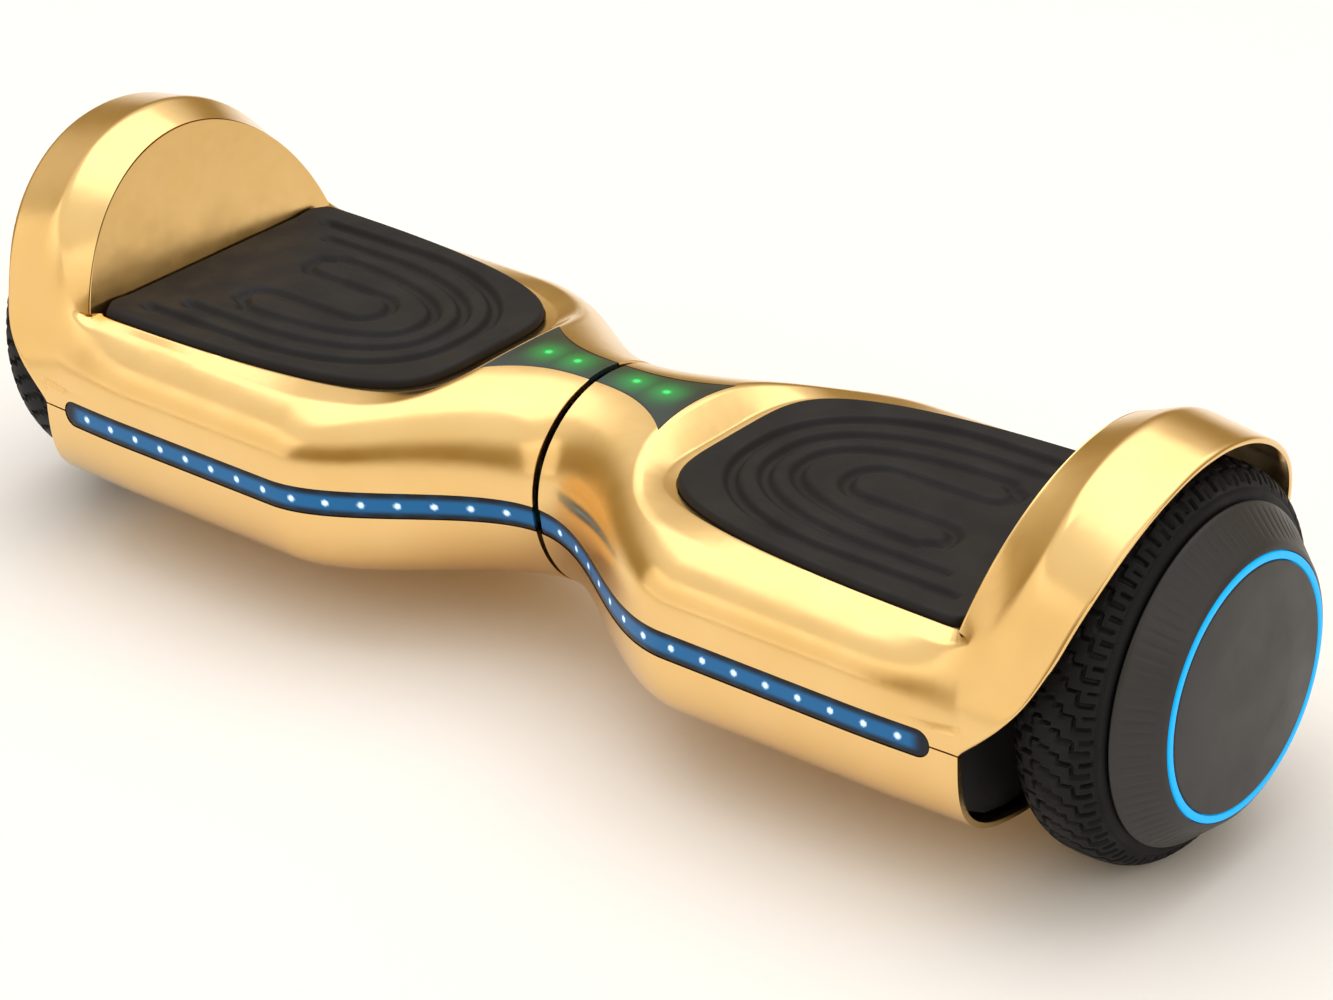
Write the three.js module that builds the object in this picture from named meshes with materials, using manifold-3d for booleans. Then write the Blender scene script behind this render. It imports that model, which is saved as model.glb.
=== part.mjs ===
// Self-balancing two-wheel board: two halves that twist against each other on a pivot tube,
// each carried by a hub-motor wheel.
// Millimetres. X runs along the wheel axle, -Y is the front, +Z is up. The pieces are laid out
// around the axle line, and the whole board is then lifted so that its tyres stand on Z = 0.

import * as THREE from 'three';
import { mergeVertices } from 'three/addons/utils/BufferGeometryUtils.js';
import Module from 'manifold-3d';

const wasm = await Module();
wasm.setup();

// ---------------------------------------------------------------- driving dimensions

// Clearances
const fitGap = 0.3;            // between pieces that seat on each other
const seamGap = 3;             // open joint between the two halves
const padGap = 0.6;            // round the foot pad in its recess

// Casing, half sections measured from the axle line
const wall = 2.6;
const bodyEnd = 253.5;         // where the casing stops at the wheel
const bodyHalfDepth = 98.3;
const bodyTop = 40.6;
const bodyBottom = 57;
const bodySquareness = 2.4;    // superellipse exponent of the upper half of the body
const bellySquareness = 4.1;   // the same for the lower half
const waistHalfDepth = 49.3;
const waistTop = 43;
const waistBottom = 56.5;
const waistSquareness = 2;     // the waist is close to a circle
const flareLength = 110;       // the waist widens to the body over this length
const partingHeight = -9;      // where the upper and lower shells meet

// Wheel arch
const archGap = 7.5;           // between the tyre and the sides of the arch, casing included
const archLift = 5;            // the arch stands this much further off over the top of the tyre
const archFootInset = 2.3;     // from the body's side in to the foot of the arch
const archCreaseInset = 30;    // from the arch's outer edge in to its crease, along the axle
const archCreaseRise = 5.5;    // how far the crease stands above the edge at the top
const archOverhang = 49;       // how far the arch reaches over the wheel past the body end
const archBlend = 53.5;        // the body turns into the arch over this length before its end
const archBevel = 6;           // from the crease in to the upright panel
const discLean = 0.235;        // the upright panel beside the pad leans out by this ratio

// Foot pad
const padInner = 68;           // where the pad starts, from the middle of the board
const padBorder = 25.3;        // from the body's side to the pad
const padTop = 34.5;
const padThickness = 7.3;
const padEdgeRadius = 1.8;
const padCorner = 6;
const padTravel = 1.5;         // how far the pad is pressed down onto the sensor
const padLip = 4;              // how far the pad stands above the casing round it
const padPegRadius = 5;
const bevelWidth = 6;          // sloped border between the pad and the crease
const discMargin = 9;          // the upright panel is wider than the pad by this on each side
const padFloorGap = 0.7;       // under a pad that is pressed down

// Light strip along the front
const stripHeight = 12;
const stripEndInset = 13;      // from the body end
const stripRecess = 0.3;
const lensThickness = 2;
const boardThickness = 1.4;
const stripLamps = 15;

// Dark panel beside the wheel
const panelGap = 2.4;          // round the panel, inside the casing

// Indicator window on the waist
const windowSeamHalf = 9.6;
const windowTipHalf = 25.7;

// Wheel and motor
const tyreRadius = 82.5;
const tyreWidth = 40;
const tyreWall = 22.2;         // tread to bore
const wheelClearance = 9.5;    // from the body end to the tyre
const rimWall = 8;
const magnetThickness = 3.4;
const airGap = 2.3;
const axleRadius = 8;
const axleFlat = 6.5;          // half the distance across the flats
const bearingRadius = 14;
const bearingWidth = 7;
const coverThickness = 3;
const coverMargin = 12;        // from the tread in to the rim of the hub cover
const hubCoverHeight = 18.8;   // how far the hub cover stands out from the tyre
const ringRadius = 53.3;       // middle of the light ring
const ringWidth = 3.2;
const statorTeeth = 12;
const statorWidth = 18;

// Frame
const pivotRadius = 16;
const pivotBore = 12.5;
const pivotReach = 62;
const bushWall = 3;
const bossWall = 5;
const frameFloor = 4;
const frameHalfDepth = 60;
const clampLength = 38;
const clampHalfDepth = 22;
const clampHeight = 13.5;
const boltRadius = 3;
const boltHead = 5;

// Battery, boards, button and charging socket
const batteryLength = 122;
const batteryHalfDepth = 48;
const batteryHeight = 46;
const controllerLength = 108;
const controllerHalfDepth = 44;
const buttonRadius = 7;
const buttonDepth = 9;
const buttonTravel = 1.2;
const socketRadius = 10.2;
const socketBore = 6.5;
const socketDepth = 11;
const liningSlack = 2;         // the casing's flat facets stand this far inside its curve, at most
const rearFittingHeight = -26; // height of the button and socket from the axle line
const buttonPlace = 166;
const socketPlace = 122;

// ---------------------------------------------------------------- derived places

const padOuter = bodyEnd - 15.5;
const padHalfWidth = bodyHalfDepth - padBorder;
const lipHeight = padTop - padLip;
const floorTop = padTop - padThickness - padTravel - padFloorGap;
const floorBottom = floorTop - wall;
const creaseHalfDepth = padHalfWidth + bevelWidth;
const wheelInner = bodyEnd + wheelClearance;
const wheelOuter = wheelInner + tyreWidth;
const wheelCentre = (wheelInner + wheelOuter) / 2;
const rimRadius = tyreRadius - tyreWall - fitGap;
const magnetOuter = rimRadius - rimWall;
const statorRadius = magnetOuter - magnetThickness - airGap;
const statorStart = wheelInner + 9;
const statorEnd = statorStart + statorWidth;
const archRadius = tyreRadius + archGap;
const archTop = archRadius + archLift + archCreaseRise;
const discSide = padHalfWidth + discMargin;
const archSide = discSide + archBevel;
const archFoot = bodyHalfDepth - archFootInset;
const archEdgeX = bodyEnd + archOverhang;
const archCreaseX = archEdgeX - archCreaseInset;
const discTop = archTop - archBevel - 1;
const pivotHeight = (waistTop - waistBottom) / 2;
const frameBottom = -bodyBottom + wall + 8;
const seamX = seamGap / 2;

// ---------------------------------------------------------------- small helpers

const mix = (a, b, t) => a + (b - a) * t;
const degrees = (angle) => angle * Math.PI / 180;

/** Ease from 0 at `from` to 1 at `to`. */
function ease(value, from, to) {
  const t = Math.min(1, Math.max(0, (value - from) / (to - from)));
  return t * t * (3 - 2 * t);
}

/** A closed, outward-facing geometry from any closed one. */
function tidy(source) {
  let geometry = source.clone();
  geometry.deleteAttribute('normal');
  geometry.deleteAttribute('uv');
  geometry = mergeVertices(geometry, 1e-4);
  const place = geometry.getAttribute('position');
  const corners = geometry.index.array;
  const kept = [];
  let volume = 0;
  for (let i = 0; i < corners.length; i += 3) {
    const [a, b, c] = [corners[i], corners[i + 1], corners[i + 2]];
    if (a === b || b === c || a === c) continue;
    kept.push(a, b, c);
    const [p, q, r] = [a, b, c].map((n) => new THREE.Vector3().fromBufferAttribute(place, n));
    volume += p.dot(q.cross(r));
  }
  if (volume < 0) kept.reverse();
  geometry.setIndex(kept);
  return geometry;
}

function toSolid(source) {
  const geometry = tidy(source);
  const vertProperties = Float32Array.from(geometry.getAttribute('position').array);
  const triVerts = Uint32Array.from(geometry.index.array);
  return new wasm.Manifold(new wasm.Mesh({ numProp: 3, vertProperties, triVerts }));
}

function fromSolid(solid) {
  const mesh = solid.getMesh();
  const geometry = new THREE.BufferGeometry();
  const step = mesh.numProp;
  const places = [];
  for (let i = 0; i < mesh.vertProperties.length; i += step) {
    places.push(...mesh.vertProperties.slice(i, i + 3));
  }
  geometry.setAttribute('position', new THREE.Float32BufferAttribute(places, 3));
  geometry.setIndex([...mesh.triVerts]);
  return geometry;
}

/** The first geometry with the others taken out of it. */
function cut(base, ...tools) {
  const result = tools.reduce((solid, tool) => solid.subtract(toSolid(tool)), toSolid(base));
  return fromSolid(result);
}

/** All the geometries as one body. */
function join(base, ...others) {
  const result = others.reduce((solid, other) => solid.add(toSolid(other)), toSolid(base));
  return fromSolid(result);
}

function mirrored(source) {
  const geometry = tidy(source);
  geometry.scale(-1, 1, 1);
  return tidy(geometry);
}

function box(x0, x1, y0, y1, z0, z1) {
  const geometry = new THREE.BoxGeometry(x1 - x0, y1 - y0, z1 - z0);
  return geometry.translate((x0 + x1) / 2, (y0 + y1) / 2, (z0 + z1) / 2);
}

/** A closed profile of [radius, x] pairs turned about the X axis. */
function turned(profile, segments = 24) {
  const points = profile.map(([radius, x]) => new THREE.Vector2(radius, x));
  points.push(points[0].clone());
  return new THREE.LatheGeometry(points, segments).rotateZ(-Math.PI / 2);
}

/** A plain ring or, with no bore, a disc about the X axis. */
function ring(inner, outer, x0, x1, segments = 24) {
  return turned([[inner, x0], [outer, x0], [outer, x1], [inner, x1]], segments);
}

/** A round bar along Y. */
function barY(radius, x, y0, y1, z, segments = 24) {
  const geometry = new THREE.CylinderGeometry(radius, radius, y1 - y0, segments);
  return geometry.translate(x, (y0 + y1) / 2, z);
}

/** A round bar along Z. */
function barZ(radius, x, y, z0, z1, segments = 16) {
  const geometry = new THREE.CylinderGeometry(radius, radius, z1 - z0, segments);
  return geometry.rotateX(Math.PI / 2).translate(x, y, (z0 + z1) / 2);
}

/** A geometry from points and triangles. */
function meshOf(points, triangles) {
  const geometry = new THREE.BufferGeometry();
  const places = points.flatMap((point) => [point.x, point.y, point.z]);
  geometry.setAttribute('position', new THREE.Float32BufferAttribute(places, 3));
  geometry.setIndex(triangles.flat());
  return geometry;
}

/** A closed body between two grids of points, `outer` and `inner`, each a list of rows. */
function sheet(outer, inner) {
  const rows = outer.length;
  const columns = outer[0].length;
  const count = rows * columns;
  const triangles = [];
  const at = (row, column) => row * columns + column;
  const quad = (a, b, c, d) => triangles.push([a, b, c], [a, c, d]);
  for (let row = 0; row + 1 < rows; row += 1) {
    for (let column = 0; column + 1 < columns; column += 1) {
      const [a, b] = [at(row, column), at(row, column + 1)];
      const [c, d] = [at(row + 1, column + 1), at(row + 1, column)];
      quad(a, b, c, d);
      quad(count + d, count + c, count + b, count + a);
    }
  }
  for (let column = 0; column + 1 < columns; column += 1) {
    const [a, b] = [at(0, column), at(0, column + 1)];
    const [c, d] = [at(rows - 1, column), at(rows - 1, column + 1)];
    quad(b, a, count + a, count + b);
    quad(c, d, count + d, count + c);
  }
  for (let row = 0; row + 1 < rows; row += 1) {
    const [a, b] = [at(row, 0), at(row + 1, 0)];
    const [c, d] = [at(row, columns - 1), at(row + 1, columns - 1)];
    quad(a, b, count + b, count + a);
    quad(d, c, count + c, count + d);
  }
  return meshOf([...outer.flat(), ...inner.flat()], triangles);
}

/** A closed body between two stacks of closed rings, each stack capped at its last ring. */
function bowl(outer, inner, middle, wallDown) {
  const columns = outer[0].length;
  const stacks = [outer, inner];
  const points = stacks.flatMap((stack) => stack.flat());
  const half = outer.length * columns;
  const triangles = [];
  const quad = (a, b, c, d) => triangles.push([a, b, c], [a, c, d]);
  for (let row = 0; row + 1 < outer.length; row += 1) {
    for (let column = 0; column < columns; column += 1) {
      const next = (column + 1) % columns;
      const [a, b] = [row * columns + column, row * columns + next];
      const [c, d] = [b + columns, a + columns];
      quad(a, b, c, d);
      quad(half + d, half + c, half + b, half + a);
    }
  }
  const last = (outer.length - 1) * columns;
  points.push(middle, middle.clone().setZ(middle.z - wallDown));
  for (let column = 0; column < columns; column += 1) {
    const next = (column + 1) % columns;
    quad(next, column, half + column, half + next);
    triangles.push([last + column, last + next, 2 * half]);
    triangles.push([half + last + next, half + last + column, 2 * half + 1]);
  }
  return meshOf(points, triangles);
}

// ---------------------------------------------------------------- shape of the casing

/** Radius of a superellipse from its centre, at an angle. */
function superRadius(angle, acrossHalf, upHalf, power) {
  const across = Math.abs(Math.cos(angle) / acrossHalf) ** power;
  const up = Math.abs(Math.sin(angle) / upHalf) ** power;
  return (across + up) ** (-1 / power);
}

function halfDepthAt(x) {
  return mix(waistHalfDepth, bodyHalfDepth, ease(x, 0, flareLength));
}

/** Shape of the lower casing at x: half depth, depth below the axle line and squareness. */
function bellyAt(x) {
  const flare = ease(x, 0, flareLength);
  const lift = ease(x, bodyEnd - archBlend, archCreaseX);
  return {
    across: mix(halfDepthAt(x), archFoot, lift),
    down: mix(waistBottom, bodyBottom, flare),
    power: mix(waistSquareness, bellySquareness, flare),
  };
}

/** Half depth of the outside of the casing at x, at a height at or below the axle line. */
function sideAt(x, height) {
  const belly = bellyAt(x);
  return belly.across * (1 - (Math.abs(height) / belly.down) ** belly.power) ** (1 / belly.power);
}

/** Height of the outside of the casing at x, at a depth, between the waist and the arch. */
function topAt(x, depth) {
  const power = mix(waistSquareness, bodySquareness, ease(x, 0, padInner));
  const up = mix(waistTop, bodyTop, ease(x, 0, flareLength));
  return up * (1 - (Math.abs(depth) / halfDepthAt(x)) ** power) ** (1 / power);
}

/** Folds an angle over the top of the board to the front half. */
const frontAngle = (angle) => Math.min(angle, Math.PI - angle);

/** Distance of the casing from the axle line. `inward` is 0 at its edge and 1 at the crease. */
function casingRadius(x, angle, inward) {
  const belly = bellyAt(x);
  if (angle < 0) return superRadius(angle, belly.across, belly.down, belly.power);
  const power = mix(waistSquareness, bodySquareness, ease(x, 0, padInner));
  const up = mix(waistTop, bodyTop, ease(x, 0, flareLength));
  const body = superRadius(angle, halfDepthAt(x), up, power);
  const flare = (archFoot - archRadius) * (1 - ease(frontAngle(angle), 0, degrees(28)));
  const edge = superRadius(angle, archRadius, archRadius + archLift, 2) + flare;
  const arch = mix(edge, superRadius(angle, archSide, archTop, 2), inward);
  return mix(body, arch, ease(x, bodyEnd - archBlend, archCreaseX));
}

function onCasing(x, angle, inward, depth = 0) {
  const radius = casingRadius(x, angle, inward) - depth;
  return new THREE.Vector3(x, -radius * Math.cos(angle), radius * Math.sin(angle));
}

/** Angle at which the casing reaches a height below the axle line. */
const angleAtHeight = (x, height) => Math.atan2(height, sideAt(x, height));

/** Front half of a rounded outline in plan: a blunt inner end, then a long straight side. */
function bluntOutline(inner, outer, halfWidth, endPower, sidePower, turn) {
  const x = outer - (outer - inner) * Math.cos(turn) ** (2 / endPower);
  return [x, halfWidth * Math.sin(turn) ** (2 / sidePower)];
}

/** Plan points of the pad's outline, front half, grown by `grow`. */
function padOutline(grow, steps) {
  const corner = grow > 0 ? padCorner - grow : padCorner;
  const inner = padInner - grow;
  const outer = padOuter + grow;
  const points = [];
  for (let i = 0; i <= steps; i += 1) {
    const turn = degrees(90) * i / steps;
    const [x, y] = bluntOutline(inner, outer, padHalfWidth + grow, 2.4, 4.7, turn);
    if (x < outer - corner) points.push([x, y]);
  }
  for (let i = 0; i <= 4; i += 1) {
    const turn = degrees(90) * i / 4;
    const y = padHalfWidth + grow - corner * (1 - Math.cos(turn));
    points.push([outer - corner * (1 - Math.sin(turn)), y]);
  }
  return points;
}

/** The crease round the pad and over the arch, as (x, angle), from the waist to the arch top. */
function creaseCurve() {
  const scale = bodyHalfDepth;
  const knots = [];
  for (let i = 0; i <= 8; i += 1) {
    const inner = padInner - 19.7;
    const [x, y] = bluntOutline(inner, padInner + 82, creaseHalfDepth, 3.2, 2.6, degrees(90) * i / 8);
    knots.push([x, Math.atan2(topAt(x, y), y)]);
  }
  for (const x of [mix(padInner, padOuter, 0.7), padOuter - 13]) {
    knots.push([x, Math.atan2(topAt(x, creaseHalfDepth), creaseHalfDepth)]);
  }
  const inboard = [-33.5, -23.5, -14.5, -6.5, -2, -0.5, 0];
  const rise = [19.5, 23, 30.5, 42, 56, 72, 90];
  inboard.forEach((offset, i) => knots.push([archCreaseX + offset, degrees(rise[i])]));
  const ordered = knots.map(([x, angle]) => new THREE.Vector3(x, angle * scale, 0));
  const behind = ordered.slice(1, -1).reverse();
  const back = behind.map((knot) => new THREE.Vector3(knot.x, Math.PI * scale - knot.y, 0));
  const curve = new THREE.CatmullRomCurve3([...ordered, ...back], true, 'centripetal');
  return (share) => {
    const point = curve.getPoint(share / 2);
    return [point.x, point.y / scale];
  };
}

/** The outer edge of the arch, as (x, angle), from its foot to its top. */
function archEdgeCurve() {
  const scale = bodyHalfDepth;
  const foot = angleAtHeight(bodyEnd, partingHeight);
  const outboard = [0.355, 0.53, 0.67, 0.775, 0.87, 0.94, 0.985, 1];
  const rise = [5, 12, 22, 33, 45, 58, 72, 90];
  const knots = [new THREE.Vector3(bodyEnd, foot * scale, 0)];
  outboard.forEach((share, i) => {
    knots.push(new THREE.Vector3(bodyEnd + share * archOverhang, degrees(rise[i]) * scale, 0));
  });
  const curve = new THREE.CatmullRomCurve3(knots, false, 'centripetal');
  return (share) => {
    const point = curve.getPoint(share);
    return [point.x, point.y / scale];
  };
}

const seamColumns = 5;
const frontColumns = 11;
const archColumns = 7;
const skinRows = 4;

/** Nearest point of a plan outline to a plan point. */
function nearestOn(outline, x, y) {
  let best = outline[0];
  let least = Infinity;
  for (const [px, py] of outline) {
    const distance = Math.hypot(px - x, py - y);
    if (distance < least) {
      least = distance;
      best = [px, py];
    }
  }
  return best;
}

/** One column of the upper shell's skin, from its edge to the floor of the pad recess. */
function shellColumn(index, crease, archEdge, outline) {
  const upperEdge = partingHeight + fitGap / 2;
  const waistFoot = angleAtHeight(seamX, upperEdge);
  const creaseAtCorner = 0.19;
  const creaseAtFoot = 0.69;
  const archStart = seamColumns + frontColumns;
  let edge;
  let share;
  if (index <= seamColumns) {
    const t = index / seamColumns;
    edge = [seamX, mix(degrees(90), waistFoot, t)];
    share = creaseAtCorner * t;
  } else if (index <= archStart) {
    const t = (index - seamColumns) / frontColumns;
    const x = mix(seamX, bodyEnd, t);
    edge = [x, angleAtHeight(x, upperEdge)];
    share = mix(creaseAtCorner, creaseAtFoot, t);
  } else {
    const t = (index - archStart) / archColumns;
    edge = archEdge(t);
    share = mix(creaseAtFoot, 1, t);
  }
  const inner = crease(share);
  const skin = [];
  const lining = [];
  for (let row = 0; row <= skinRows; row += 1) {
    const t = row / skinRows;
    const x = mix(edge[0], inner[0], t);
    const angle = mix(edge[1], inner[1], t);
    skin.push(onCasing(x, angle, t));
    lining.push(onCasing(x, angle, t, wall));
  }
  const corner = skin[skinRows];
  const discAt = (height) => padOuter + padGap + (height - padTop + padThickness) * discLean;
  if (index <= archStart) {
    const atCorner = { [archStart - 1]: outline.at(-5), [archStart]: outline.at(-3) };
    const [x, y] = atCorner[index] ?? nearestOn(outline, corner.x, -corner.y);
    const out = new THREE.Vector2(corner.x - x, -corner.y - y).normalize().multiplyScalar(wall);
    skin.push(new THREE.Vector3(x, -y, lipHeight), new THREE.Vector3(x, -y, floorTop));
    for (const height of [lipHeight, floorTop]) {
      lining.push(new THREE.Vector3(x + out.x, -y - out.y, height - wall));
    }
  } else {
    const t = (index - archStart) / archColumns;
    const low = Math.asin(lipHeight / discTop);
    const turn = mix(low, degrees(90), t);
    const high = new THREE.Vector3(0, -discSide * Math.cos(turn), discTop * Math.sin(turn));
    high.x = discAt(high.z);
    const foot = new THREE.Vector3(discAt(floorTop), 0, floorTop);
    foot.y = -outline.at(-1)[1] * (archColumns - (index - archStart)) / (archColumns - 1);
    skin.push(high, foot);
    const shrink = 1 - wall / discTop;
    lining.push(new THREE.Vector3(high.x + wall, high.y * shrink, high.z * shrink));
    lining.push(new THREE.Vector3(foot.x + wall, foot.y, foot.z - wall));
  }
  return { skin, lining };
}

// ---------------------------------------------------------------- casing pieces

/** A band along the front that follows the casing, with a round outer end. */
function frontBand(x0, x1, halfHeight, front, back) {
  const middle = partingHeight;
  const steps = 18;
  const faces = [[], []];
  for (let i = 0; i <= steps; i += 1) {
    const straight = x1 - halfHeight;
    const round = (i - steps + 4) / 4;
    const x = round <= 0 ? mix(x0, straight, i / (steps - 4))
      : straight + halfHeight * Math.sin(degrees(80) * round);
    const half = Math.sqrt(halfHeight ** 2 - Math.max(0, x - straight) ** 2);
    [front, back].forEach((depth, face) => {
      faces[face].push([-half, 0, half].map((height) => {
        const side = sideAt(x, Math.min(0, middle + height)) - depth;
        return new THREE.Vector3(x, -side, middle + height);
      }));
    });
  }
  return sheet(faces[0], faces[1]);
}

/** The bow-tie window on top of the waist, or the hole for it. */
function waistWindow(grow, above, below) {
  const steps = 8;
  const across = [-1, -0.5, 0, 0.5, 1];
  const faces = [[], []];
  const start = seamX + 0.6 - grow * 4;
  const end = padInner - 20.5 + grow;
  for (let i = 0; i <= steps; i += 1) {
    const t = i / steps;
    const half = mix(windowSeamHalf, windowTipHalf, t ** 2.6) + grow;
    [above, below].forEach((offset, face) => {
      faces[face].push(across.map((share) => {
        const bow = t * 2 * share ** 2;
        const x = mix(start, end, t) + bow;
        const y = half * share;
        return new THREE.Vector3(x, y, topAt(x, y) + offset);
      }));
    });
  }
  return sheet(faces[0], faces[1]);
}

const pegPlaces = [[0.25, 1], [0.25, -1], [0.72, 1], [0.72, -1]].map(([share, side]) => (
  [mix(padInner, padOuter, share), side * padHalfWidth * 0.4]));

function buildUpperShell() {
  const crease = creaseCurve();
  const archEdge = archEdgeCurve();
  const outline = padOutline(padGap, 60);
  const half = seamColumns + frontColumns + archColumns;
  const columns = [];
  for (let index = 0; index < 2 * half; index += 1) {
    const front = index <= half;
    const column = shellColumn(front ? index : 2 * half - index, crease, archEdge, outline);
    if (!front) [...column.skin, ...column.lining].forEach((point) => { point.y *= -1; });
    columns.push(column);
  }
  const rows = columns[0].skin.length;
  const rings = (side) => Array.from({ length: rows }, (_, row) => columns.map((c) => c[side][row]));
  const middle = new THREE.Vector3((padInner + padOuter) / 2, 0, floorTop);
  const body = bowl(rings('skin'), rings('lining'), middle, wall);
  const slot = stripHeight / 2 + fitGap;
  const pegHoles = pegPlaces.map(([x, y]) => (
    barZ(padPegRadius + padGap, x, y, floorBottom - 1, floorTop + 1)));
  return cut(
    body,
    frontBand(seamX - 1, bodyEnd - stripEndInset + fitGap, slot, -4, wall + 4),
    waistWindow(fitGap, 4, -wall - 3),
    ...pegHoles,
  );
}

function buildLowerShell() {
  const lowerEdge = -partingHeight + fitGap / 2;
  const xSteps = 11;
  const turnSteps = 7;
  const grid = (depth) => {
    const rows = [];
    for (let i = 0; i <= xSteps; i += 1) {
      const x = mix(seamX, bodyEnd, i / xSteps);
      const belly = bellyAt(x);
      const down = belly.down - depth;
      const low = Math.asin((lowerEdge / down) ** (belly.power / 2));
      const row = [];
      for (let j = -turnSteps; j <= turnSteps; j += 1) {
        const turn = mix(degrees(90), low, Math.abs(j) / turnSteps);
        const y = (belly.across - depth) * Math.abs(Math.cos(turn)) ** (2 / belly.power);
        const z = -down * Math.sin(turn) ** (2 / belly.power);
        row.push(new THREE.Vector3(x, j === 0 ? 0 : Math.sign(j) * y, z));
      }
      rows.push(row);
    }
    return rows;
  };
  const slot = stripHeight / 2 + fitGap;
  return cut(
    sheet(grid(0), grid(wall)),
    frontBand(seamX - 1, bodyEnd - stripEndInset + fitGap, slot, -4, wall + 4),
  );
}

/** Rings of plan points turned into a closed plate with a rounded top edge. */
function buildFootPad() {
  const bottom = padTop - padThickness;
  const levels = [
    [0, bottom], [0, padTop - padEdgeRadius], [-0.3 * padEdgeRadius, padTop - 0.3 * padEdgeRadius],
    [-padEdgeRadius, padTop],
  ];
  const rings = levels.map(([grow, height]) => {
    const front = padOutline(grow, 12).map(([x, y]) => new THREE.Vector3(x, -y, height));
    const back = front.slice(1).reverse().map((point) => point.clone().setY(-point.y));
    return [...front, ...back];
  });
  const columns = rings[0].length;
  const points = rings.flat();
  const triangles = [];
  for (let row = 0; row + 1 < rings.length; row += 1) {
    for (let column = 0; column < columns; column += 1) {
      const next = (column + 1) % columns;
      const [a, b] = [row * columns + column, row * columns + next];
      triangles.push([a, b, b + columns], [a, b + columns, a + columns]);
    }
  }
  const middle = (padInner + padOuter) / 2;
  points.push(new THREE.Vector3(middle, 0, bottom), new THREE.Vector3(middle, 0, padTop));
  const top = (rings.length - 1) * columns;
  for (let column = 0; column < columns; column += 1) {
    const next = (column + 1) % columns;
    triangles.push([next, column, points.length - 2], [top + column, top + next, points.length - 1]);
  }
  const pegs = pegPlaces.map(([x, y]) => barZ(padPegRadius, x, y, bottom - padTravel - 0.5, bottom + 1));
  return join(meshOf(points, triangles), ...pegs);
}

/** Dark panel that closes the end of the casing beside the wheel. */
function buildWellPanel() {
  const x = bodyEnd - 5;
  const inset = wall + panelGap;
  const outline = [];
  const top = lipHeight - 0.5;
  const highest = Math.asin(top / (casingRadius(x, degrees(26), 1) - inset));
  for (let i = 0; i <= 14; i += 1) {
    const angle = mix(highest, degrees(-90), i / 14);
    const radius = casingRadius(x, angle, 1) - inset;
    outline.push([radius * Math.cos(angle), Math.max(radius * Math.sin(angle), -bodyBottom + inset)]);
  }
  const shape = new THREE.Shape();
  const both = [...outline, ...outline.slice(0, -1).reverse().map(([y, z]) => [-y, z])];
  both.forEach(([y, z], i) => (i ? shape.lineTo(y, z) : shape.moveTo(y, z)));
  const plate = new THREE.ExtrudeGeometry(shape, { depth: wall, bevelEnabled: false });
  plate.rotateX(Math.PI / 2).rotateZ(Math.PI / 2).translate(x - wall, 0, 0);
  return cut(plate, turned([[0, x - 9], [axleRadius + 1, x - 9], [axleRadius + 1, x + 9], [0, x + 9]], 24));
}

/** The light strip's lamp board, with its lamps standing on it. */
function buildStripBoard() {
  const front = stripRecess + lensThickness + 2.2;
  const start = seamX + 2;
  const end = bodyEnd - stripEndInset - 6;
  const board = frontBand(start, end, 4, front, front + boardThickness);
  const lamps = [];
  for (let i = 0; i < stripLamps; i += 1) {
    const x = mix(start + 12, end - 8, i / (stripLamps - 1));
    const side = sideAt(x, partingHeight) - front;
    lamps.push(box(x - 1.5, x + 1.5, -side - 0.5, -side + 0.7, partingHeight - 2, partingHeight + 2));
  }
  return join(board, ...lamps);
}

function buildIndicatorBoard() {
  const top = waistTop - wall - 3.6;
  const lamps = [16, 33].map((x) => box(x - 2.5, x + 2.5, -2.5, 2.5, top - 0.1, top + 1.4));
  return join(box(seamX + 5, 42, -8, 8, top - boardThickness, top), ...lamps);
}

function buildSensorBoard() {
  const top = floorBottom - fitGap;
  const x0 = mix(padInner, padOuter, 0.15);
  const x1 = mix(padInner, padOuter, 0.82);
  const half = padHalfWidth * 0.55;
  const sensors = pegPlaces.map(([x, y]) => box(x - 3, x + 3, y - 3, y + 3, top - 0.1, top + 1.1));
  return join(box(x0, x1, -half, half, top - boardThickness, top), ...sensors);
}

// ---------------------------------------------------------------- frame and pivot

const clampStart = bodyEnd - 15.5 - clampLength;
const boltPlaces = [-1, 1].map((side) => [clampStart + clampLength / 2, side * 15]);

/** Cast frame of one half: floor, side ribs, pivot boss and axle seat. `bore` is the boss's hole. */
function buildFrame(bore) {
  const seatEnd = clampStart + clampLength + 4;
  const bossRadius = pivotRadius + bushWall + fitGap + bossWall;
  const ribHeight = 26;
  const bossEnd = pivotReach - 4;
  const boss = ring(bore, bossRadius, seamX + 0.5, bossEnd).translate(0, 0, pivotHeight);
  const ribs = [-1, 1].map((side) => {
    const middle = side * (frameHalfDepth - frameFloor / 2);
    return box(80, seatEnd - 20, middle - frameFloor / 2, middle + frameFloor / 2,
      frameBottom, frameBottom + ribHeight);
  });
  const web = cut(
    box(seamX + 14, 66, -18, 18, frameBottom, pivotHeight - 10),
    ring(0, bossRadius - 1, seamX, bossEnd + 20).translate(0, 0, pivotHeight),
  );
  const frame = join(
    box(50, seatEnd, -frameHalfDepth + 22, frameHalfDepth - 22, frameBottom, frameBottom + frameFloor),
    box(80, seatEnd - 20, -frameHalfDepth, frameHalfDepth, frameBottom, frameBottom + frameFloor),
    box(clampStart - 4, seatEnd, -clampHalfDepth, clampHalfDepth, frameBottom, -fitGap),
    boss, web, ...ribs,
  );
  const seat = axleRadius + fitGap;
  const bolts = boltPlaces.map(([x, y]) => barZ(boltRadius + fitGap, x, y, -24, 1));
  return cut(frame, box(clampStart - 6, seatEnd + 2, -seat, seat, -axleFlat - fitGap, 1), ...bolts);
}

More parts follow.
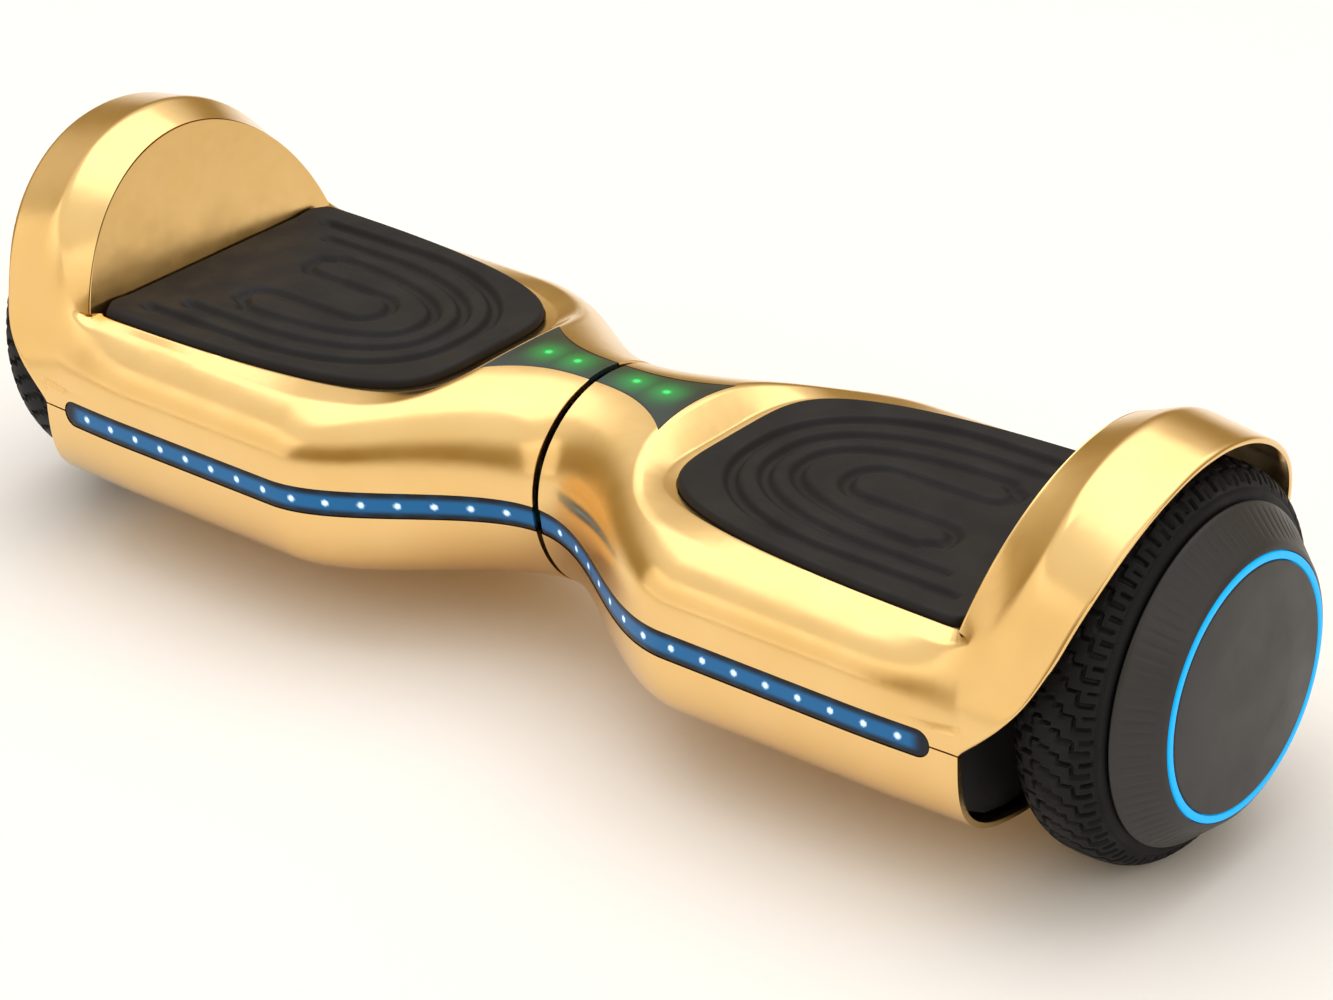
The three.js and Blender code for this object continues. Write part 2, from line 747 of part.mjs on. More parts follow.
function buildAxleClamp() {
  const seat = axleRadius + fitGap;
  const bolts = boltPlaces.map(([x, y]) => barZ(boltRadius + fitGap, x, y, -1, clampHeight + 2));
  return cut(
    box(clampStart, clampStart + clampLength, -clampHalfDepth, clampHalfDepth, fitGap, clampHeight),
    box(clampStart - 1, clampStart + clampLength + 1, -seat, seat, -1, axleFlat + fitGap),
    ...bolts,
  );
}

function buildClampBolt(place) {
  const [x, y] = place;
  const seat = clampHeight + fitGap;
  return join(barZ(boltRadius, x, y, -20, seat + 1, 16), barZ(boltHead, x, y, seat, seat + 5, 6));
}

// ---------------------------------------------------------------- wheel and motor

function buildAxle() {
  const start = clampStart - 2;
  const end = wheelOuter - 4;
  const rod = turned([
    [0, start], [axleRadius, start], [axleRadius, statorStart], [axleRadius + 2, statorStart],
    [axleRadius + 2, statorEnd], [axleRadius - 0.5, statorEnd], [axleRadius - 0.5, end], [0, end],
  ]);
  const flats = [-1, 1].map((side) => {
    const [low, high] = side < 0 ? [-20, -axleFlat] : [axleFlat, 20];
    return box(start - 1, bodyEnd - 6, -20, 20, low, high);
  });
  return cut(rod, ...flats);
}

function buildStator() {
  const root = statorRadius * 0.66;
  const shape = new THREE.Shape();
  const pitch = degrees(360 / statorTeeth);
  for (let i = 0; i < statorTeeth; i += 1) {
    const spots = [[root, -0.3], [statorRadius, -0.36], [statorRadius, 0.36], [root, 0.3]];
    spots.forEach(([radius, share], corner) => {
      const angle = pitch * (i + share);
      const place = [radius * Math.cos(angle), radius * Math.sin(angle)];
      if (i === 0 && corner === 0) shape.moveTo(...place);
      else shape.lineTo(...place);
    });
  }
  shape.closePath();
  const bore = new THREE.Path();
  bore.absarc(0, 0, axleRadius + 2 + fitGap, 0, Math.PI * 2, true);
  shape.holes.push(bore);
  const stack = new THREE.ExtrudeGeometry(shape, {
    depth: statorWidth, bevelEnabled: false, curveSegments: 12,
  });
  return stack.rotateY(Math.PI / 2).translate(statorStart, 0, 0);
}

function buildRim() {
  const hub = axleRadius + 6;
  const outer = wheelOuter;
  return turned([
    [magnetOuter, wheelInner + 1], [rimRadius, wheelInner + 1], [rimRadius, outer],
    [hub, outer], [hub, outer - 11], [hub + 4, outer - 11], [hub + 4, outer - 4],
    [magnetOuter, outer - 4],
  ]);
}

function buildMotorCover() {
  const bore = bearingRadius + fitGap;
  const face = wheelInner + 1 - fitGap;
  return turned([
    [bore, face - coverThickness], [rimRadius - 1, face - coverThickness], [rimRadius - 1, face],
    [bore + 4, face], [bore + 4, face + 5], [bore, face + 5],
  ]);
}

function buildTyre() {
  const bore = tyreRadius - tyreWall;
  const half = tyreWidth / 2;
  const profile = [[bore, wheelCentre - half + 1], [bore, wheelCentre + half - 1]];
  const steps = 10;
  for (let i = 0; i <= steps; i += 1) {
    const turn = Math.PI * i / steps;
    const across = Math.sign(Math.cos(turn)) * Math.abs(Math.cos(turn)) ** (2 / 3);
    const up = Math.abs(Math.sin(turn)) ** (2 / 3);
    profile.push([bore + 2 + (tyreWall - 2) * up, wheelCentre + half * across]);
  }
  return turned(profile, 32);
}

const coverBase = wheelOuter + 0.4;
const coverFace = coverBase + hubCoverHeight;
const ringInner = ringRadius - ringWidth / 2;
const ringOuter = ringRadius + ringWidth / 2;

function buildHubCover() {
  const lip = tyreRadius - coverMargin;
  const skin = 2;
  const groove = coverFace - 3.6;
  return turned([
    [ringInner - 1.7, coverBase], [lip - 1.5, coverBase], [lip, coverBase + 0.5],
    [lip - 0.7, coverBase + skin], [ringOuter + 2.4, coverFace - 2.8],
    [ringOuter + fitGap, coverFace - 1.6], [ringOuter + fitGap, groove],
    [ringInner - fitGap, groove], [ringInner - fitGap, coverFace - 1.2], [0, coverFace],
    [0, coverFace - 2.6], [ringInner - 3, groove], [ringInner - 2, groove - skin],
    [ringOuter + 1.4, groove - skin], [lip - 4.3, coverBase + skin], [ringInner - 1.7, coverBase + skin],
  ], 32);
}

// ---------------------------------------------------------------- button and charging socket

const rearFace = (x) => sideAt(x, rearFittingHeight);
const hingeDrop = socketRadius + 1.8;

/** Everything taken out of the lower shell for the button and the charging socket. */
function rearHoles() {
  const button = rearFace(buttonPlace);
  const socket = rearFace(socketPlace);
  const notchTop = rearFittingHeight - socketRadius + 3;
  return [
    barY(buttonRadius + padGap, buttonPlace, button - wall - 6, button + 4, rearFittingHeight),
    barY(socketRadius + padGap, socketPlace, socket - wall - 6, socket + 4, rearFittingHeight),
    box(socketPlace - 4.6, socketPlace + 4.6, socket - wall - 6, socket + 4,
      rearFittingHeight - hingeDrop - 3.2, notchTop),
  ];
}

function buildPowerButton() {
  const face = rearFace(buttonPlace) - 0.3;
  return join(
    barY(buttonRadius, buttonPlace, face - buttonDepth, face, rearFittingHeight),
    barY(buttonRadius + 1.5, buttonPlace, face - buttonDepth, face - buttonDepth + 2, rearFittingHeight),
  );
}

function buildPowerSwitch() {
  const back = rearFace(buttonPlace) - 0.3 - buttonDepth - buttonTravel - fitGap;
  return join(
    barY(4, buttonPlace, back - 5, back, rearFittingHeight, 16),
    box(buttonPlace - 9, buttonPlace + 9, back - 9, back - 4, rearFittingHeight - 9, rearFittingHeight + 9),
  );
}

const socketFace = rearFace(socketPlace) - 3.1;

function buildChargeSocket() {
  const z = rearFittingHeight;
  const face = socketFace;
  const back = face - socketDepth - 3;
  const collar = socketRadius + 2;
  const collarFace = sideAt(socketPlace, z - collar) - wall - liningSlack;
  const shell = cut(
    join(
      barY(socketRadius, socketPlace, back, face, z),
      barY(collar, socketPlace, back, collarFace, z),
    ),
    barY(socketBore, socketPlace, face - socketDepth, face + 1, z, 24),
  );
  const pins = [0, 1, 2].map((i) => {
    const angle = degrees(90 + 120 * i);
    const [x, up] = [socketPlace + 3.6 * Math.cos(angle), z + 3.6 * Math.sin(angle)];
    return barY(0.9, x, face - socketDepth - 1, face - 6, up, 10);
  });
  return join(shell, ...pins);
}

function buildChargeCap() {
  const z = rearFittingHeight;
  const [inside, outside] = [socketFace + fitGap, socketFace + 2.7];
  return join(
    barY(socketRadius - 0.2, socketPlace, inside, outside, z),
    box(socketPlace - 4, socketPlace + 4, inside, outside, z - hingeDrop, z - socketRadius + 2),
    barX(1.2, socketPlace - 4, socketPlace + 4, (inside + outside) / 2, z - hingeDrop),
  );
}

/** A round bar along X. */
function barX(radius, x0, x1, y, z, segments = 16) {
  const geometry = new THREE.CylinderGeometry(radius, radius, x1 - x0, segments);
  return geometry.rotateZ(Math.PI / 2).translate((x0 + x1) / 2, y, z);
}

// ---------------------------------------------------------------- battery and controller

function buildBattery() {
  const low = frameBottom + frameFloor + fitGap;
  const start = padInner + 2;
  const shape = new THREE.Shape();
  const corner = 8;
  const [w, h] = [batteryHalfDepth, batteryHeight];
  shape.moveTo(-w + corner, 0);
  shape.lineTo(w - corner, 0);
  shape.absarc(w - corner, corner, corner, degrees(-90), 0, false);
  shape.lineTo(w, h - corner);
  shape.absarc(w - corner, h - corner, corner, 0, degrees(90), false);
  shape.lineTo(-w + corner, h);
  shape.absarc(-w + corner, h - corner, corner, degrees(90), degrees(180), false);
  shape.lineTo(-w, corner);
  shape.absarc(-w + corner, corner, corner, degrees(180), degrees(270), false);
  const pack = new THREE.ExtrudeGeometry(shape, {
    depth: batteryLength, bevelEnabled: false, curveSegments: 5,
  });
  return pack.rotateX(Math.PI / 2).rotateZ(Math.PI / 2).translate(start, 0, low);
}

function buildController() {
  const low = frameBottom + frameFloor + fitGap;
  const start = padInner + 8;
  const half = controllerHalfDepth;
  const plate = box(start, start + controllerLength, -half, half, low, low + 5);
  const board = box(start + 4, start + controllerLength - 4, -half + 3, half - 3, low + 4.9, low + 8);
  const chips = [0, 1, 2, 3, 4, 5].map((i) => (
    box(start + 10 + 15 * i, start + 20 + 15 * i, half - 14, half - 4, low + 7.9, low + 12)));
  const capacitors = [0.3, 0.55].map((share) => (
    barZ(8, start + controllerLength * share, -20, low + 7.9, low + 34, 20)));
  const sockets = [0, 1, 2].map((i) => (
    box(start + 12 + 30 * i, start + 26 + 30 * i, -half + 4, -half + 12, low + 7.9, low + 18)));
  return join(plate, board, ...chips, ...capacitors, ...sockets);
}

// ---------------------------------------------------------------- finishes

const finish = (color, roughness, metalness) => (
  new THREE.MeshStandardMaterial({ color, roughness, metalness }));

const goldPlating = finish(0xe0b95c, 0.15, 1);
const padRubber = finish(0x2b2829, 0.7, 0);
const tyreRubber = finish(0x1a1a1e, 0.75, 0);
const hubPlastic = finish(0x4a4848, 0.45, 0);
const blackPlastic = finish(0x151517, 0.6, 0);
const smokedLens = finish(0x20303a, 0.2, 0);
const blueLens = finish(0x1f7fb0, 0.25, 0);
const cyanLens = finish(0x00b8f0, 0.3, 0);
const castAluminium = finish(0x9a9c9e, 0.5, 1);
const steel = finish(0x8a8c90, 0.35, 1);
const laminations = finish(0x6d5a4a, 0.5, 0.8);
const magnetCoat = finish(0x5c5f66, 0.4, 1);
const circuitBoard = finish(0x1c4a34, 0.5, 0);
const batteryWrap = finish(0x2a4f86, 0.5, 0);
const bronze = finish(0xa9783a, 0.4, 1);

// ---------------------------------------------------------------- assembly

const board = new THREE.Group();
board.position.z = axleHeight();

/** The axle line's height above the ground. */
function axleHeight() {
  return tyreRadius;
}

function addPiece(name, geometry, material) {
  const mesh = new THREE.Mesh(tidy(geometry), material);
  mesh.name = name;
  board.add(mesh);
}

/** Adds a piece to both halves: `build` makes the one for the right-hand half. */
function addPair(name, build, material) {
  const geometry = build();
  addPiece(`${name}_r`, geometry, material);
  addPiece(`${name}_l`, mirrored(geometry), material);
}

const lowerShell = buildLowerShell();
addPair('upper_shell', buildUpperShell, goldPlating);
addPiece('lower_shell_r', cut(lowerShell, ...rearHoles()), goldPlating);
addPiece('lower_shell_l', mirrored(lowerShell), goldPlating);
addPair('foot_pad', buildFootPad, padRubber);
addPair('well_panel', buildWellPanel, blackPlastic);
addPair('strip_lens', () => frontBand(seamX + 0.7, bodyEnd - stripEndInset, stripHeight / 2,
  stripRecess, stripRecess + lensThickness), blueLens);
addPair('strip_board', buildStripBoard, circuitBoard);
addPair('indicator_lens', () => waistWindow(0, -0.15, -wall + 0.2), smokedLens);
addPair('indicator_board', buildIndicatorBoard, circuitBoard);
addPair('sensor_board', buildSensorBoard, circuitBoard);

addPiece('frame_r', buildFrame(pivotRadius + bushWall + fitGap), castAluminium);
addPiece('frame_l', mirrored(buildFrame(pivotRadius + fitGap)), castAluminium);
addPair('axle_clamp', buildAxleClamp, castAluminium);
boltPlaces.forEach((place, i) => {
  addPair(`clamp_bolt_${i + 1}`, () => buildClampBolt(place), steel);
});
const onPivot = (geometry) => geometry.translate(0, 0, pivotHeight);
addPiece('pivot_tube', onPivot(ring(pivotBore, pivotRadius, -pivotReach + 4, pivotReach)), steel);
addPiece('pivot_bush', onPivot(ring(pivotRadius + fitGap, pivotRadius + bushWall,
  seamX + 0.5, pivotReach - 4)), bronze);
addPiece('pivot_ring', onPivot(ring(pivotRadius + fitGap, pivotRadius + bushWall + 3,
  pivotReach - 4 + fitGap, pivotReach - 1.2)), steel);
addPiece('centre_seal', onPivot(ring(pivotRadius + fitGap, waistHalfDepth - wall - 1.2,
  -seamX + 0.4, seamX - 0.4)), padRubber);

addPair('motor_axle', buildAxle, steel);
addPair('stator', buildStator, laminations);
addPair('magnet_ring', () => ring(magnetOuter - magnetThickness, magnetOuter - fitGap,
  wheelCentre - 14, wheelCentre + 14), magnetCoat);
addPair('wheel_rim', buildRim, castAluminium);
addPair('motor_cover', buildMotorCover, castAluminium);
addPair('inner_bearing', () => ring(axleRadius + fitGap, bearingRadius,
  wheelInner - 2, wheelInner - 2 + bearingWidth), steel);
addPair('outer_bearing', () => ring(axleRadius - 0.5 + fitGap, axleRadius + 6 - fitGap,
  wheelOuter - 10.5, wheelOuter - 4.5), steel);
addPair('tyre', buildTyre, tyreRubber);
addPair('hub_cover', buildHubCover, hubPlastic);
addPair('light_ring', () => ring(ringInner, ringOuter, coverFace - 3.3, coverFace - 1.2, 32), cyanLens);
addPair('ring_board', () => ring(ringInner - 4.5, ringOuter + 0.6,
  coverFace - 7.3, coverFace - 5.9), circuitBoard);

addPiece('battery_pack', mirrored(buildBattery()), batteryWrap);
addPiece('controller', buildController(), circuitBoard);
addPiece('power_button', buildPowerButton(), blackPlastic);
addPiece('power_switch', buildPowerSwitch(), blackPlastic);
addPiece('charge_socket', buildChargeSocket(), blackPlastic);
addPiece('charge_cap', buildChargeCap(), padRubber);

export default board;
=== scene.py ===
"""Self-balancing two-wheel board: gold-plated casing, rubber foot pads, hub-motor wheels and lamps.

Everything is in metres in the frame's own axes: X along the wheel axle, -Y the front, +Z up.
"""

import logging
import math
from dataclasses import dataclass
from enum import Enum

import bpy
import numpy as np
from mathutils import Matrix, Vector

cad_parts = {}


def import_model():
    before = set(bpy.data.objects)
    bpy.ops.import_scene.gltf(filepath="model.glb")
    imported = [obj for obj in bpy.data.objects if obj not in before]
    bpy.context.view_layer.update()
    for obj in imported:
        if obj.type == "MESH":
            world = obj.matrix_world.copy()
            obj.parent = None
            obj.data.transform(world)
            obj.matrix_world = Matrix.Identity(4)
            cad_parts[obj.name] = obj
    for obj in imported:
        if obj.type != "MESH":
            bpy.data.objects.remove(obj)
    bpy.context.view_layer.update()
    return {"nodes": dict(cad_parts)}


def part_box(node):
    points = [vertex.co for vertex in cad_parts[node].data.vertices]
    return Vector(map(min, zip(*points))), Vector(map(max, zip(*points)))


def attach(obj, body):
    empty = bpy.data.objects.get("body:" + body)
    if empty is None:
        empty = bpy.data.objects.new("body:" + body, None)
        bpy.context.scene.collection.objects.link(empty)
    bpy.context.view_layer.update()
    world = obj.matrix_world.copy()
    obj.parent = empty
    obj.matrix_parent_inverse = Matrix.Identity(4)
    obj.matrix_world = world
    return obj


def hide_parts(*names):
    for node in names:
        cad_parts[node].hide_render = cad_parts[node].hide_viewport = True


log = logging.getLogger("board")
MM = 0.001
Node = bpy.types.Node
Piece = bpy.types.Object


class Side(Enum):
    """The two halves of the board."""

    LEFT = "left"
    RIGHT = "right"

    @property
    def sign(self) -> float:
        """Direction of this half along the axle."""
        return 1.0 if self is Side.RIGHT else -1.0

    @property
    def tag(self) -> str:
        """The letter that ends this half's node names."""
        return self.value[0]

    @property
    def half(self) -> str:
        """The body of this half's casing."""
        return f"{self.value}_half"

    @property
    def wheel(self) -> str:
        """The body of this half's wheel."""
        return f"{self.value}_wheel"


class Grain(Enum):
    """How a surface was made, which sets the shape of its fine relief."""

    MOULDED = "moulded"
    CAST = "cast"
    TURNED = "turned"
    STACKED = "stacked"
    PRINTED = "printed"


# ---------------------------------------------------------------- helpers


def linear(code: str) -> tuple[float, float, float, float]:
    """Turns an sRGB hex colour to linear.

    Args:
        code: The colour as "#RRGGBB".

    Returns:
        Linear red, green, blue and an alpha of 1.
    """
    channels = [int(code[i:i + 2], 16) / 255 for i in (1, 3, 5)]
    red, green, blue = (c / 12.92 if c <= 0.04045 else ((c + 0.055) / 1.055) ** 2.4 for c in channels)
    return (red, green, blue, 1.0)


def mix(a: float, b: float, t: float) -> float:
    """Blends from a at t = 0 to b at t = 1."""
    return a + (b - a) * t


def ease(value: np.ndarray, start: float, end: float) -> np.ndarray:
    """Rises smoothly from 0 at start to 1 at end."""
    t = np.clip((np.asarray(value, float) - start) / (end - start), 0, 1)
    return t * t * (3 - 2 * t)


def catmull_rom(knots: np.ndarray, shares: np.ndarray, closed: bool) -> np.ndarray:
    """Samples a centripetal Catmull-Rom curve.

    Args:
        knots: The points that it passes through, one per row.
        shares: Places along it, from 0 to 1.
        closed: Whether the last knot joins the first.

    Returns:
        One point per share.
    """
    count = len(knots)
    found = []
    for share in shares:
        place = (count - (0 if closed else 1)) * share
        index = int(place)
        weight = place - index
        if not closed and index >= count - 1:
            index, weight = count - 2, 1.0
        if closed:
            p0, p1, p2, p3 = (knots[(index + k) % count] for k in (-1, 0, 1, 2))
        else:
            p1, p2 = knots[index], knots[index + 1]
            p0 = knots[index - 1] if index > 0 else 2 * knots[0] - knots[1]
            p3 = knots[index + 2] if index + 2 < count else 2 * knots[-1] - knots[-2]
        d0, d1, d2 = (math.sqrt(max(1e-9, np.linalg.norm(b - a))) for a, b in ((p0, p1), (p1, p2), (p2, p3)))
        t1 = ((p1 - p0) / d0 - (p2 - p0) / (d0 + d1) + (p2 - p1) / d1) * d1
        t2 = ((p2 - p1) / d1 - (p3 - p1) / (d1 + d2) + (p3 - p2) / d2) * d1
        w2, w3 = weight ** 2, weight ** 3
        found.append(p1 * (1 - 3 * w2 + 2 * w3) + p2 * (3 * w2 - 2 * w3)
                     + t1 * (weight - 2 * w2 + w3) + t2 * (w3 - w2))
    return np.array(found)


def mesh_piece(name: str, points: np.ndarray, faces: list, sharp: float = 32.0) -> Piece:
    """Makes a smooth-shaded mesh with outward faces and sharp edges where it bends by an angle.

    Args:
        name: The piece's name.
        points: Its vertices, one per row.
        faces: Vertex numbers of each face.
        sharp: The least bend of a sharp edge, in degrees.

    Returns:
        The piece, in the scene.
    """
    mesh = bpy.data.meshes.new(name)
    mesh.from_pydata([tuple(map(float, p)) for p in points], [], [tuple(map(int, f)) for f in faces])
    mesh.update()
    piece = bpy.data.objects.new(name, mesh)
    bpy.context.scene.collection.objects.link(piece)
    if signed_volume(mesh) < 0:
        mesh.flip_normals()
    mesh.shade_smooth()
    mesh.set_sharp_from_angle(angle=math.radians(sharp))
    return piece


def signed_volume(mesh: bpy.types.Mesh) -> float:
    """Six times the volume that the mesh's faces enclose, negative when they face inwards."""
    mesh.calc_loop_triangles()
    places = np.array([v.co for v in mesh.vertices])
    corners = np.array([t.vertices for t in mesh.loop_triangles])
    a, b, c = (places[corners[:, k]] for k in range(3))
    return float(np.einsum("ij,ij->", a, np.cross(b, c)))


def ring_stack(rings: np.ndarray, around: bool = True) -> list:
    """Faces between neighbouring rings of points.

    Args:
        rings: Array of rings, each with the same number of points.
        around: Whether each ring is closed.

    Returns:
        Quads, numbered as the flattened array.
    """
    count, columns = rings.shape[:2]
    last = columns if around else columns - 1
    rows = np.arange(count - 1)[:, None] * columns
    here = np.arange(last)[None, :]
    after = (here + 1) % columns
    quads = np.stack([rows + here, rows + after, rows + columns + after, rows + columns + here], axis=-1)
    return quads.reshape(-1, 4).tolist()


def capped_stack(name: str, rings: np.ndarray, ends: tuple, sharp: float = 32.0) -> Piece:
    """A closed mesh from a stack of closed rings, with each end drawn to a point.

    Args:
        name: The piece's name.
        rings: Array of rings of points.
        ends: The points that close the first and the last ring.
        sharp: The least bend of a sharp edge, in degrees.

    Returns:
        The piece.
    """
    count, columns = rings.shape[:2]
    points = np.concatenate([rings.reshape(-1, 3), np.array(ends)])
    faces = ring_stack(rings)
    first, last = count * columns, count * columns + 1
    base = (count - 1) * columns
    for column in range(columns):
        after = (column + 1) % columns
        faces.append([after, column, first])
        faces.append([base + column, base + after, last])
    return mesh_piece(name, points, faces, sharp)


def looped_stack(name: str, rings: np.ndarray, sharp: float) -> Piece:
    """A closed mesh from a stack of closed rings, the last of which joins the first.

    Args:
        name: The piece's name.
        rings: Array of rings of points.
        sharp: The least bend of a sharp edge, in degrees.

    Returns:
        The piece.
    """
    count = rings.shape[0] * rings.shape[1]
    faces = ring_stack(np.concatenate([rings, rings[:1]]))
    faces = [[index % count for index in face] for face in faces]
    return mesh_piece(name, rings.reshape(-1, 3), faces, sharp)


def sheet(name: str, outer: np.ndarray, inner: np.ndarray, sharp: float = 32.0) -> Piece:
    """A closed mesh between two grids of points.

    Args:
        name: The piece's name.
        outer: Rows of points of one face.
        inner: The same rows on the other face.
        sharp: The least bend of a sharp edge, in degrees.

    Returns:
        The piece.
    """
    rows, columns = outer.shape[:2]
    count = rows * columns
    faces = ring_stack(outer, around=False)
    faces += [[count + k for k in reversed(face)] for face in faces]
    grid = np.arange(count).reshape(rows, columns)
    border = [*zip(grid[1:, 0], grid[:-1, 0]), *zip(grid[:-1, -1], grid[1:, -1]),
              *zip(grid[0, :-1], grid[0, 1:]), *zip(grid[-1, 1:], grid[-1, :-1])]
    faces += [[b, a, count + a, count + b] for a, b in border]
    return mesh_piece(name, np.concatenate([outer.reshape(-1, 3), inner.reshape(-1, 3)]), faces, sharp)


def block(name: str, low: tuple, high: tuple) -> Piece:
    """A closed box between two corners, for cutting."""
    x, y = np.meshgrid([low[0], high[0]], [low[1], high[1]], indexing="ij")
    top, bottom = (np.stack([x, y, 0 * x + z], axis=-1) for z in (high[2], low[2]))
    return sheet(name, top, bottom)


def turned(name: str, profile: np.ndarray, segments: int, axis: str = "X", sharp: float = 32.0) -> Piece:
    """A closed profile turned about an axis through the origin.

    Args:
        name: The piece's name.
        profile: Rows of radius and place along the axis, in order round the section.
        segments: Steps round the turn.
        axis: "X", "Y" or "Z".
        sharp: The least bend of a sharp edge, in degrees.

    Returns:
        The piece. A profile that starts and ends on the axis is closed by its two ends.
    """
    turn = np.linspace(0, 2 * math.pi, segments, endpoint=False)
    radius, along = np.array(profile, float).T
    closed = radius.min() > 1e-6
    if closed:
        radius, along = np.append(radius, radius[0]), np.append(along, along[0])
    rings = turned_rings(radius, along, turn, axis)
    if not closed:
        first, last = rings[0].mean(axis=0), rings[-1].mean(axis=0)
        return capped_stack(name, rings[1:-1], (first, last), sharp)
    return looped_stack(name, rings[:-1], sharp)


def turned_rings(radius: np.ndarray, along: np.ndarray, turn: np.ndarray, axis: str) -> np.ndarray:
    """Rings of points round an axis, one for each pair of radius and place along it."""
    across = radius[:, None] * np.cos(turn)[None, :]
    up = radius[:, None] * np.sin(turn)[None, :]
    far = np.broadcast_to(along[:, None], across.shape)
    orders = {"X": (far, across, up), "Y": (across, far, up), "Z": (across, up, far)}
    return np.stack(orders[axis], axis=-1)


def rounded(profile: list, radius: float, steps: int = 4) -> np.ndarray:
    """Rounds the corners of an open or closed run of 2-D points.

    Args:
        profile: The corners, in order. The first and the last stay as they are.
        radius: How far from each corner its round starts, at most.
        steps: Points along each round.

    Returns:
        The rounded run, one point per row.
    """
    corners = np.array(profile, float)
    run = [corners[0]]
    for before, corner, after in zip(corners, corners[1:], corners[2:]):
        back, on = before - corner, after - corner
        reach = min(radius, 0.48 * np.linalg.norm(back), 0.48 * np.linalg.norm(on))
        start = corner + back / np.linalg.norm(back) * reach
        end = corner + on / np.linalg.norm(on) * reach
        for t in np.linspace(0, 1, steps):
            run.append((1 - t) ** 2 * start + 2 * t * (1 - t) * corner + t * t * end)
    run.append(corners[-1])
    return np.array(run)


def shift(piece: Piece, offset: tuple) -> Piece:
    """Moves a piece's mesh, and leaves the object at the origin."""
    piece.data.transform(Matrix.Translation(Vector(offset)))
    return piece


def mirrored(piece: Piece, side: Side) -> Piece:
    """Mirrors a right-hand piece's mesh for the left half, and leaves one for the right half alone."""
    if side is Side.LEFT:
        piece.data.transform(Matrix.Scale(-1, 4, Vector((1, 0, 0))))
        piece.data.flip_normals()
    return piece


def cut(piece: Piece, tools: list) -> Piece:
    """Takes closed tool meshes out of a piece, and removes the tools.

    Args:
        piece: The piece to cut.
        tools: Closed meshes.

    Returns:
        The piece with its cut mesh.
    """
    for tool in tools:
        modifier = piece.modifiers.new("cut", "BOOLEAN")
        modifier.operation = "DIFFERENCE"
        modifier.solver = "EXACT"
        modifier.object = tool
    bpy.context.view_layer.update()
    graph = bpy.context.evaluated_depsgraph_get()
    result = bpy.data.meshes.new_from_object(piece.evaluated_get(graph))
    piece.modifiers.clear()
    piece.data = result
    for tool in tools:
        bpy.data.objects.remove(tool)
    return piece


def fit(piece: Piece, finish: "Finish", body: str, slot: str, *nodes: str) -> Piece:
    """Dresses a piece, ties it to its body and hides the CAD nodes that it stands for.

    Args:
        piece: The piece.
        finish: Its material.
        body: The body that it rides on.
        slot: The record's material slot. Not used.
        nodes: CAD nodes that it replaces.

    Returns:
        The piece.
    """
    piece.data.materials.clear()
    piece.data.materials.append(finish.material())
    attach(piece, body)
    if nodes:
        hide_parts(*nodes)
    log.info("built %s on %s", piece.name, body)
    return piece


def add_node(tree: bpy.types.NodeTree, kind: str, inputs: dict | None = None, **settings: object) -> Node:
    """Adds a node, sets it and links it.

    Args:
        tree: The material's or the world's node tree.
        kind: The node's type.
        inputs: For each socket, by name or number, a value or the output that feeds it.
        settings: The node's own settings.

    Returns:
        The node.
    """
    node = tree.nodes.new(kind)
    for name, value in settings.items():
        setattr(node, name, value)
    for key, value in (inputs or {}).items():
        if isinstance(value, bpy.types.NodeSocket):
            tree.links.new(value, node.inputs[key])
        else:
            node.inputs[key].default_value = value
    return node


# ---------------------------------------------------------------- finishes


